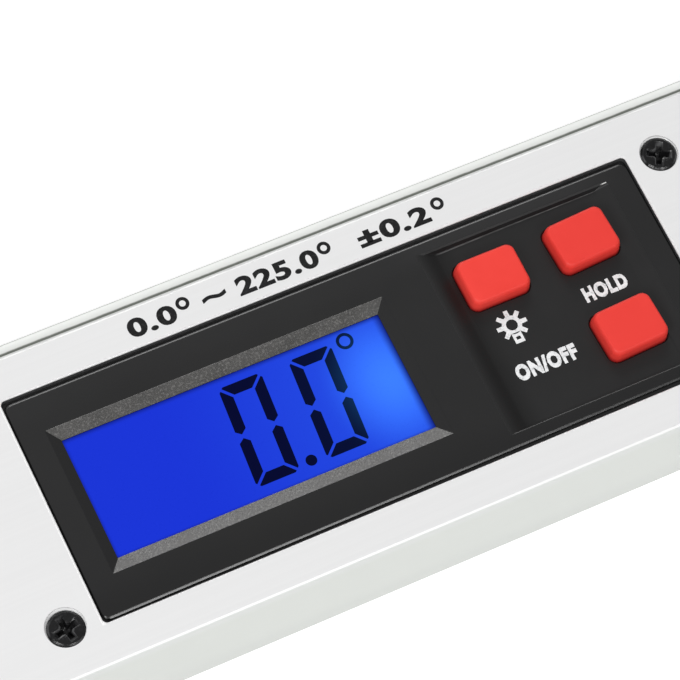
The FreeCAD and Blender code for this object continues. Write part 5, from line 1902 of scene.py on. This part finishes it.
@dataclass
class LockKnob:
    """Scalloped knob with a ring of fine ribs round its cap, and its turned metal parts."""

    pattern: Pattern
    centre: Point2 = (-187.2, 0.0)
    radius: float = 17.0
    low: float = 22.9
    top: float = 34.9
    foot: tuple[Point2, ...] = ((0.5, 0.0), (0.12, 0.18), (0.0, 0.5))
    flutes: int = 12
    flute_radius: float = 3.2
    flute_points: int = 18
    flute_edge: float = 0.35
    flute_softness: float = 0.35
    rounding: float = 1.2
    bore: float = 5.5
    bore_top: float = 31.25
    cap_radius: float = 9.0
    cap_depth: float = 1.0
    cap_bevel: float = 0.15
    groove: tuple[Point2, ...] = ((13.1, 0.0), (12.95, 0.12), (12.9, 0.55), (10.3, 0.55), (10.25, 0.12),
                                  (10.1, 0.0))
    ribs: int = 60
    rib_radius: float = 11.6
    rib_depth: float = 0.5
    rib_rings: tuple[Box, ...] = ((1.2, 0.27, 0.15, -0.1), (1.2, 0.27, 0.15, 0.28), (1.08, 0.14, 0.08, 0.4))
    crease: float = 40.0

    def build(self) -> None:
        """Makes the knob and its ribs."""
        shell = Shell()
        rings = [shell.ring(self._scalloped(inset), self.low + rise) for inset, rise in self.foot]
        rings += [shell.ring(self._scalloped(inset), self.top - drop)
                  for inset, drop in round_over(self.rounding, 6)]
        bore = [self._round(shell, self.bore, z, 48) for z in (self.low, self.bore_top)]
        cap = [self._round(shell, self.cap_radius + self.cap_bevel, self.top),
               self._round(shell, self.cap_radius, self.top - self.cap_bevel),
               self._round(shell, self.cap_radius, self.top - self.cap_depth)]
        groove = [self._round(shell, radius, self.top - depth) for radius, depth in self.groove]
        for skin in (rings, groove, bore, cap):
            shell.walls(skin)
        shell.plate(rings[0], [bore[0]])
        shell.plate(rings[-1], [groove[0]])
        shell.plate(groove[-1], [cap[0]])
        shell.lid(bore[-1])
        shell.lid(cap[-1])
        settled(shown("Lock_knob_detailed", shell.mesh("knob"), [KNOB_PLASTIC], self.crease),
                Body.LOCK_KNOB, Slot.BLACK_PLASTIC, "lock_knob")
        self._ribs()

    def dress(self, nodes: dict[str, bpy.types.Object]) -> None:
        """Gives the round metal parts a turned finish.

        Args:
            nodes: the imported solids, by name.
        """
        bright = TurnedMetal("Turned_steel", (0.6, 0.61, 0.62), self.centre)
        pale = TurnedMetal("Turned_cap", (0.72, 0.72, 0.73), self.centre, ring_scale=1600.0)
        for name in ("pivot_axle", "knob_washer"):
            nodes[name].material_slots[0].material = bright.material()
        nodes["knob_cap"].material_slots[0].material = pale.material()

    def _round(self, shell: Shell, radius: float, z: float, count: int = 72) -> Ring:
        """Ring of points about the knob's axis."""
        return shell.ring(circle(radius, count, *self.centre), z)

    def _scalloped(self, inset: float) -> Outline:
        """Outline of the grip.

        Args:
            inset: how much smaller it is all round.

        Returns:
            The outline, with a softened edge at each flute.
        """
        points = []
        count = self.flutes * self.flute_points
        centre = self.radius + self.flute_radius / 2
        step = 2 * math.pi / self.flutes
        edge = self.flute_edge
        for index in range(count):
            turn = 2 * math.pi * index / count
            off = (turn + step / 2) % step - step / 2
            reach = self.radius
            side = centre * math.sin(off)
            if abs(side) < self.flute_radius:
                hollow = centre * math.cos(off) - math.sqrt(self.flute_radius ** 2 - side ** 2)
                blend = edge * math.exp(-abs(reach - hollow) / edge) * self.flute_softness
                reach = min(reach, hollow) - blend
            reach -= inset
            points.append((self.centre[0] + reach * math.cos(turn), self.centre[1] + reach * math.sin(turn)))
        return points

    def _ribs(self) -> None:
        """Makes the ring of fine ribs that stand in the groove of the top face."""
        thing = stacked([(bar(x, y, corner, 2), z) for x, y, corner, z in self.rib_rings])
        centre = Vector((*self.centre, self.top - self.rib_depth)) * MM
        mesh = self.pattern.baked("Knob_ribs", bpy.data.meshes.new("Rib_base"), thing.mesh("rib"),
                                  KNOB_PLASTIC,
                                  {"Count": self.ribs, "Radius": self.rib_radius * MM, "Centre": centre})
        settled(shown("Knob_ribs", mesh, [KNOB_PLASTIC], self.crease), Body.LOCK_KNOB, Slot.BLACK_PLASTIC)


# ---- Vials ----

@dataclass
class Vial:
    """Clear tube with tinted liquid, a bubble and a black ring at each end of the bubble."""

    name: str
    axis: Axis
    pattern: Pattern
    centre: Point3
    length: float
    radius: float = 5.5
    wall: float = 1.0
    socket: float = 2.0
    end_radius: float = 0.4
    play: float = 0.05
    bubble_radius: float = 1.9
    bubble_length: float = 8.0
    bubble_depth: float = 1.1
    cap_steps: int = 8
    ring_places: Point2 = (-5.6, 5.6)
    ring_half: float = 0.3
    ring_radii: Point2 = (5.56, 5.48)

    def build(self) -> None:
        """Makes the tube, the liquid and the rings."""
        self._tube()
        self._liquid()
        self._rings()

    def _round(self, shell: Shell, radius: float, along: float, rise: float = 0.0, count: int = 48) -> Ring:
        """Ring of points about the vial's axis.

        Args:
            shell: shell that they belong to.
            radius: radius of the ring.
            along: its place along the axis, from the middle.
            rise: its height over the axis.
            count: number of points.

        Returns:
            The ring.
        """
        points = []
        for side, up in circle(radius, count):
            offset = (along, side, up + rise) if self.axis is Axis.X else (side, along, up + rise)
            points.append([a + b for a, b in zip(self.centre, offset)])
        return shell.loop(points)

    def _tube(self) -> None:
        """Makes the tube with closed ends and round edges."""
        shell = Shell()
        half = self.length / 2
        outside = []
        for sign in (-1, 1):
            ends = [self._round(shell, self.radius - inset, sign * (half - drop))
                    for inset, drop in round_over(self.end_radius)]
            outside += ends[::-1] if sign < 0 else ends
        shell.walls(outside)
        shell.lid(outside[0])
        shell.lid(outside[-1])
        before = self._outwards(shell)
        inner, reach = self.radius - self.wall, half - self.socket
        inside = [self._round(shell, inner, -reach), self._round(shell, inner, reach)]
        shell.walls(inside)
        shell.lid(inside[0])
        shell.lid(inside[1])
        self._turn_inwards(shell, before)
        settled(shown(self.name + "_tube", shell.mesh("tube", outward=False), [ACRYLIC]),
                Body.BASE, Slot.CLEAR_ACRYLIC, self.name + "_vial")

    def _liquid(self) -> None:
        """Makes the liquid with the bubble as a hollow in it."""
        shell = Shell()
        radius = self.radius - self.wall - self.play
        reach = self.length / 2 - self.socket - self.play
        ends = [self._round(shell, radius, -reach), self._round(shell, radius, reach)]
        shell.walls(ends)
        shell.lid(ends[0])
        shell.lid(ends[1])
        before = self._outwards(shell)
        rise = radius - self.bubble_radius * self.bubble_depth
        straight = self.bubble_length / 2 - self.bubble_radius
        rings = []
        for sign in (-1, 1):
            caps = []
            for step in range(self.cap_steps):
                turn = math.pi / 2 * step / self.cap_steps
                along = sign * (straight + self.bubble_radius * math.sin(turn))
                caps.append(self._round(shell, self.bubble_radius * math.cos(turn), along, rise, 32))
            rings += caps[::-1] if sign < 0 else caps
        shell.walls(rings, 1)
        shell.lid(rings[0], 1)
        shell.lid(rings[-1], 1)
        self._turn_inwards(shell, before)
        settled(shown(self.name + "_fluid", shell.mesh("fluid", outward=False), [LIQUID, BUBBLE], 60.0),
                Body.BASE, Slot.VIAL_LIQUID, self.name + "_liquid")

    @staticmethod
    def _outwards(shell: Shell) -> set[bmesh.types.BMFace]:
        """Turns the faces made so far outwards and gives them."""
        bmesh.ops.recalc_face_normals(shell.bm, faces=shell.bm.faces)
        return set(shell.bm.faces)

    @staticmethod
    def _turn_inwards(shell: Shell, before: set[bmesh.types.BMFace]) -> None:
        """Turns the newer faces to face a hollow.

        Args:
            shell: shell that they belong to.
            before: older faces, which stay as they are.
        """
        added = [face for face in shell.bm.faces if face not in before]
        bmesh.ops.recalc_face_normals(shell.bm, faces=added)
        bmesh.ops.reverse_faces(shell.bm, faces=added)

    def _rings(self) -> None:
        """Makes the black rings that frame the bubble."""
        (outer, inner), half = self.ring_radii, self.ring_half
        band = Shell()
        middle = replace(self, centre=(0.0, 0.0, 0.0))
        rings = [middle._round(band, radius, along)
                 for radius, along in ((outer, -half), (outer, half), (inner, half), (inner, -half))]
        band.walls(rings + rings[:1])
        base = bpy.data.meshes.new(self.name + "_ring_places")
        places = []
        for along in self.ring_places:
            place = list(self.centre)
            place[self.axis.value] += along
            places.append(Vector(place) * MM)
        base.from_pydata(places, [], [])
        base.attributes.new("turn", "FLOAT_VECTOR", "POINT")
        mesh = self.pattern.baked(self.name + "_rings", base, band.mesh("band"), MARK_INK)
        settled(shown(self.name + "_rings", mesh, [MARK_INK], 50.0), Body.BASE, Slot.BLACK_PLASTIC)


# ---- Battery door ----

@dataclass
class BatteryDoor:
    """Grip ribs and an arrow on the door in the back."""

    pattern: Pattern
    back: float = 0.15
    high: float = 0.2
    start_x: float = 2.2
    pitch: float = 1.5
    count: int = 6
    middle_y: float = -2.75
    rib_rings: tuple[Box, ...] = ((0.2, 5.0, 0.15, 0.02), (0.35, 5.15, 0.3, 0.12), (0.38, 5.18, 0.3, 0.2))
    arrow_gap: float = 2.0
    arrow_head: Point2 = (3.2, 2.4)
    arrow_shaft: Point2 = (8.0, 0.9)
    arrow_height: float = 0.03

    def build(self) -> None:
        """Makes the ribs and the arrow."""
        rib = stacked([(bar(x, y, corner, 3), z) for x, y, corner, z in self.rib_rings])
        mesh = self.pattern.baked("Door_ribs", bpy.data.meshes.new("Door_base"), rib.mesh("rib"),
                                  RUBBED_PLASTIC,
                                  {"Count": self.count,
                                   "Start": Vector((self.start_x, self.middle_y, 0.0)) * MM,
                                   "Step": Vector((self.pitch, 0.0, 0.0)) * MM})
        settled(shown("Door_ribs", mesh, [RUBBED_PLASTIC]), Body.BATTERY_DOOR, Slot.BLACK_PLASTIC)
        x, y = self.start_x + self.pitch * self.count + self.arrow_gap, self.middle_y
        (neck, barb), (tail, half) = self.arrow_head, self.arrow_shaft
        arrow = [(x, y), (x + neck, y - barb), (x + neck, y - half), (x + tail, y - half),
                 (x + tail, y + half), (x + neck, y + half), (x + neck, y + barb)]
        mark = stacked([(arrow, self.back - self.arrow_height), (arrow, self.high)])
        piece = shown("Door_arrow", mark.mesh("arrow"), [LABEL_INK])
        settled(piece, Body.BATTERY_DOOR, Slot.BLACK_PLASTIC)


# ---- Studio ----

@dataclass
class Studio:
    """Pale floor, soft lamps, pale surroundings and the camera, in metres."""

    eye: Point3 = (-0.2114, -0.1621, 0.4872)
    right: Point3 = (0.8955, -0.4328, 0.1033)
    up: Point3 = (0.3588, 0.8397, 0.4075)
    back: Point3 = (-0.2631, -0.3279, 0.9073)
    lens: float = 188.39
    sensor: float = 36.0
    clip: Point2 = (0.02, 20.0)
    lamps: tuple[tuple[str, Point3, Point2, float], ...] = (
        ("Key_lamp", (-0.95, -0.5, 0.95), (0.55, 0.55), 8.8),
        ("Far_lamp", (0.2, 1.1, 0.73), (0.5, 0.45), 4.2),
        ("Front_lamp", (0.1, -0.85, 0.95), (0.4, 0.24), 3.5))
    aim: Point3 = (-0.07, 0.0, 0.0)
    sky: float = 0.45
    ceiling: float = 0.42
    ceiling_from: Point2 = (0.35, 0.8)
    far_side: float = 0.4
    far_from: Point2 = (0.4, 0.65)
    near_side: float = 0.5
    near_from: Point2 = (-0.4, -0.7)
    floor_x: Point2 = (-7.0, 5.0)
    floor_y: Point2 = (-4.0, 8.0)
    floor_z: float = -0.00005
    floor_colour: Colour = (0.82, 0.82, 0.82)
    floor_glow: float = 0.45
    floor_light: float = 0.55

    def camera(self) -> None:
        """Makes the camera."""
        data = bpy.data.cameras.new("Camera")
        data.lens, data.sensor_width = self.lens, self.sensor
        data.clip_start, data.clip_end = self.clip
        camera = bpy.data.objects.new("Camera", data)
        bpy.context.scene.collection.objects.link(camera)
        axes = Matrix((self.right, self.up, self.back)).transposed()
        camera.matrix_world = Matrix.Translation(self.eye) @ axes.to_4x4()
        bpy.context.scene.camera = camera

    def light(self) -> None:
        """Makes the lamps and the surroundings, which reflect darker overhead and at both sides."""
        for lamp in self.lamps:
            self._lamp(*lamp)
        world = bpy.data.worlds.new("Surroundings")
        bpy.context.scene.world = world
        world.use_nodes = True
        sky = Wiring(world.node_tree)
        sky.tree.nodes.clear()
        toward = sky.node("ShaderNodeTexCoord").outputs["Generated"]
        overhead = sky.value("ShaderNodeSeparateXYZ", None, {0: toward}, "Z").eased(*self.ceiling_from)
        aside = sky.value("ShaderNodeSeparateXYZ", None, {0: toward}, "X")
        shade = (1.0 - self.far_side) * aside.eased(*self.far_from)
        shade = shade + (1.0 - self.near_side) * aside.eased(*self.near_from)
        reflected = (1.0 - (1.0 - self.ceiling) * overhead) * (1.0 - shade)
        level = self.sky + (1.0 - self.sky) * sky.rays("Camera", "Transmission")
        level = level + (reflected - self.sky) * sky.rays("Glossy")
        glow = sky.node("ShaderNodeBackground", None, {"Color": (1.0, 1.0, 1.0), "Strength": level})
        sky.node("ShaderNodeOutputWorld", None, {"Surface": glow.outputs[0]})
        bpy.context.scene.view_settings.view_transform = "Standard"

    def floor(self) -> None:
        """Makes the floor, bright to the eye but still shaded; its underside lets light through."""
        (left, right), (near, far) = self.floor_x, self.floor_y
        mesh = bpy.data.meshes.new("Floor")
        mesh.from_pydata([(left, near, 0), (right, near, 0), (right, far, 0), (left, far, 0)], [],
                         [(0, 1, 2, 3)])
        floor = bpy.data.objects.new("Floor", mesh)
        bpy.context.scene.collection.objects.link(floor)
        floor.location.z = self.floor_z
        paint = Paint("Pale_floor")
        matt = paint.node("ShaderNodeBsdfDiffuse", None, {"Color": self.floor_colour})
        seen = paint.rays("Camera", "Glossy", "Transmission")
        glow = paint.node("ShaderNodeEmission", None, {"Strength": seen * self.floor_glow})
        both = paint.node("ShaderNodeAddShader", None, {0: matt.outputs[0], 1: glow.outputs[0]})
        bounce = paint.node("ShaderNodeEmission", None, {"Strength": self.floor_light})
        lit = paint.node("ShaderNodeMixShader", None,
                         {0: paint.rays("Diffuse"), 1: both.outputs[0], 2: bounce.outputs[0]})
        away = paint.node("ShaderNodeNewGeometry").outputs["Backfacing"]
        through = paint.node("ShaderNodeBsdfTransparent")
        mixed = paint.node("ShaderNodeMixShader", None, {0: away, 1: lit.outputs[0], 2: through.outputs[0]})
        paint.node("ShaderNodeOutputMaterial", None, {"Surface": mixed.outputs[0]})
        mesh.materials.append(paint.material)

    def _lamp(self, name: str, place: Point3, sides: Point2, power: float) -> None:
        """Makes one soft lamp that faces the tool.

        Args:
            name: name of the lamp.
            place: where its middle is.
            sides: its sides across and up.
            power: its power in watts.
        """
        data = bpy.data.lights.new(name, "AREA")
        data.shape, data.energy = "RECTANGLE", power
        data.size, data.size_y = sides
        lamp = bpy.data.objects.new(name, data)
        bpy.context.scene.collection.objects.link(lamp)
        lamp.location = place
        lamp.rotation_mode = "QUATERNION"
        lamp.rotation_quaternion = (Vector(self.aim) - Vector(place)).to_track_quat("-Z", "Y")


# ---- The whole tool ----


def build() -> None:
    """Builds and dresses the tool in order."""
    logging.basicConfig(level=logging.INFO, format="%(message)s")
    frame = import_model()
    studio = Studio()
    studio.camera()
    studio.light()
    studio.floor()
    on_points, in_row, round_circle = on_points_pattern(), in_row_pattern(), round_circle_pattern()
    nodes = frame["nodes"]
    arms = Arms()
    arms.dress(nodes)
    arms.build()
    Bezel().build()
    Reading().build()
    Labels().build()
    for place in BUTTONS:
        ButtonCap(place).build()
    Fasteners(on_points).build()
    knob = LockKnob(round_circle)
    knob.dress(nodes)
    knob.build()
    Vial("level", Axis.X, on_points, centre=(98.4, -2.75, 10.8), length=40.0).build()
    Vial("plumb", Axis.Y, on_points, centre=(160.4, -2.75, 10.8), length=26.0).build()
    BatteryDoor(in_row).build()


if __name__ == "__main__":
    build()
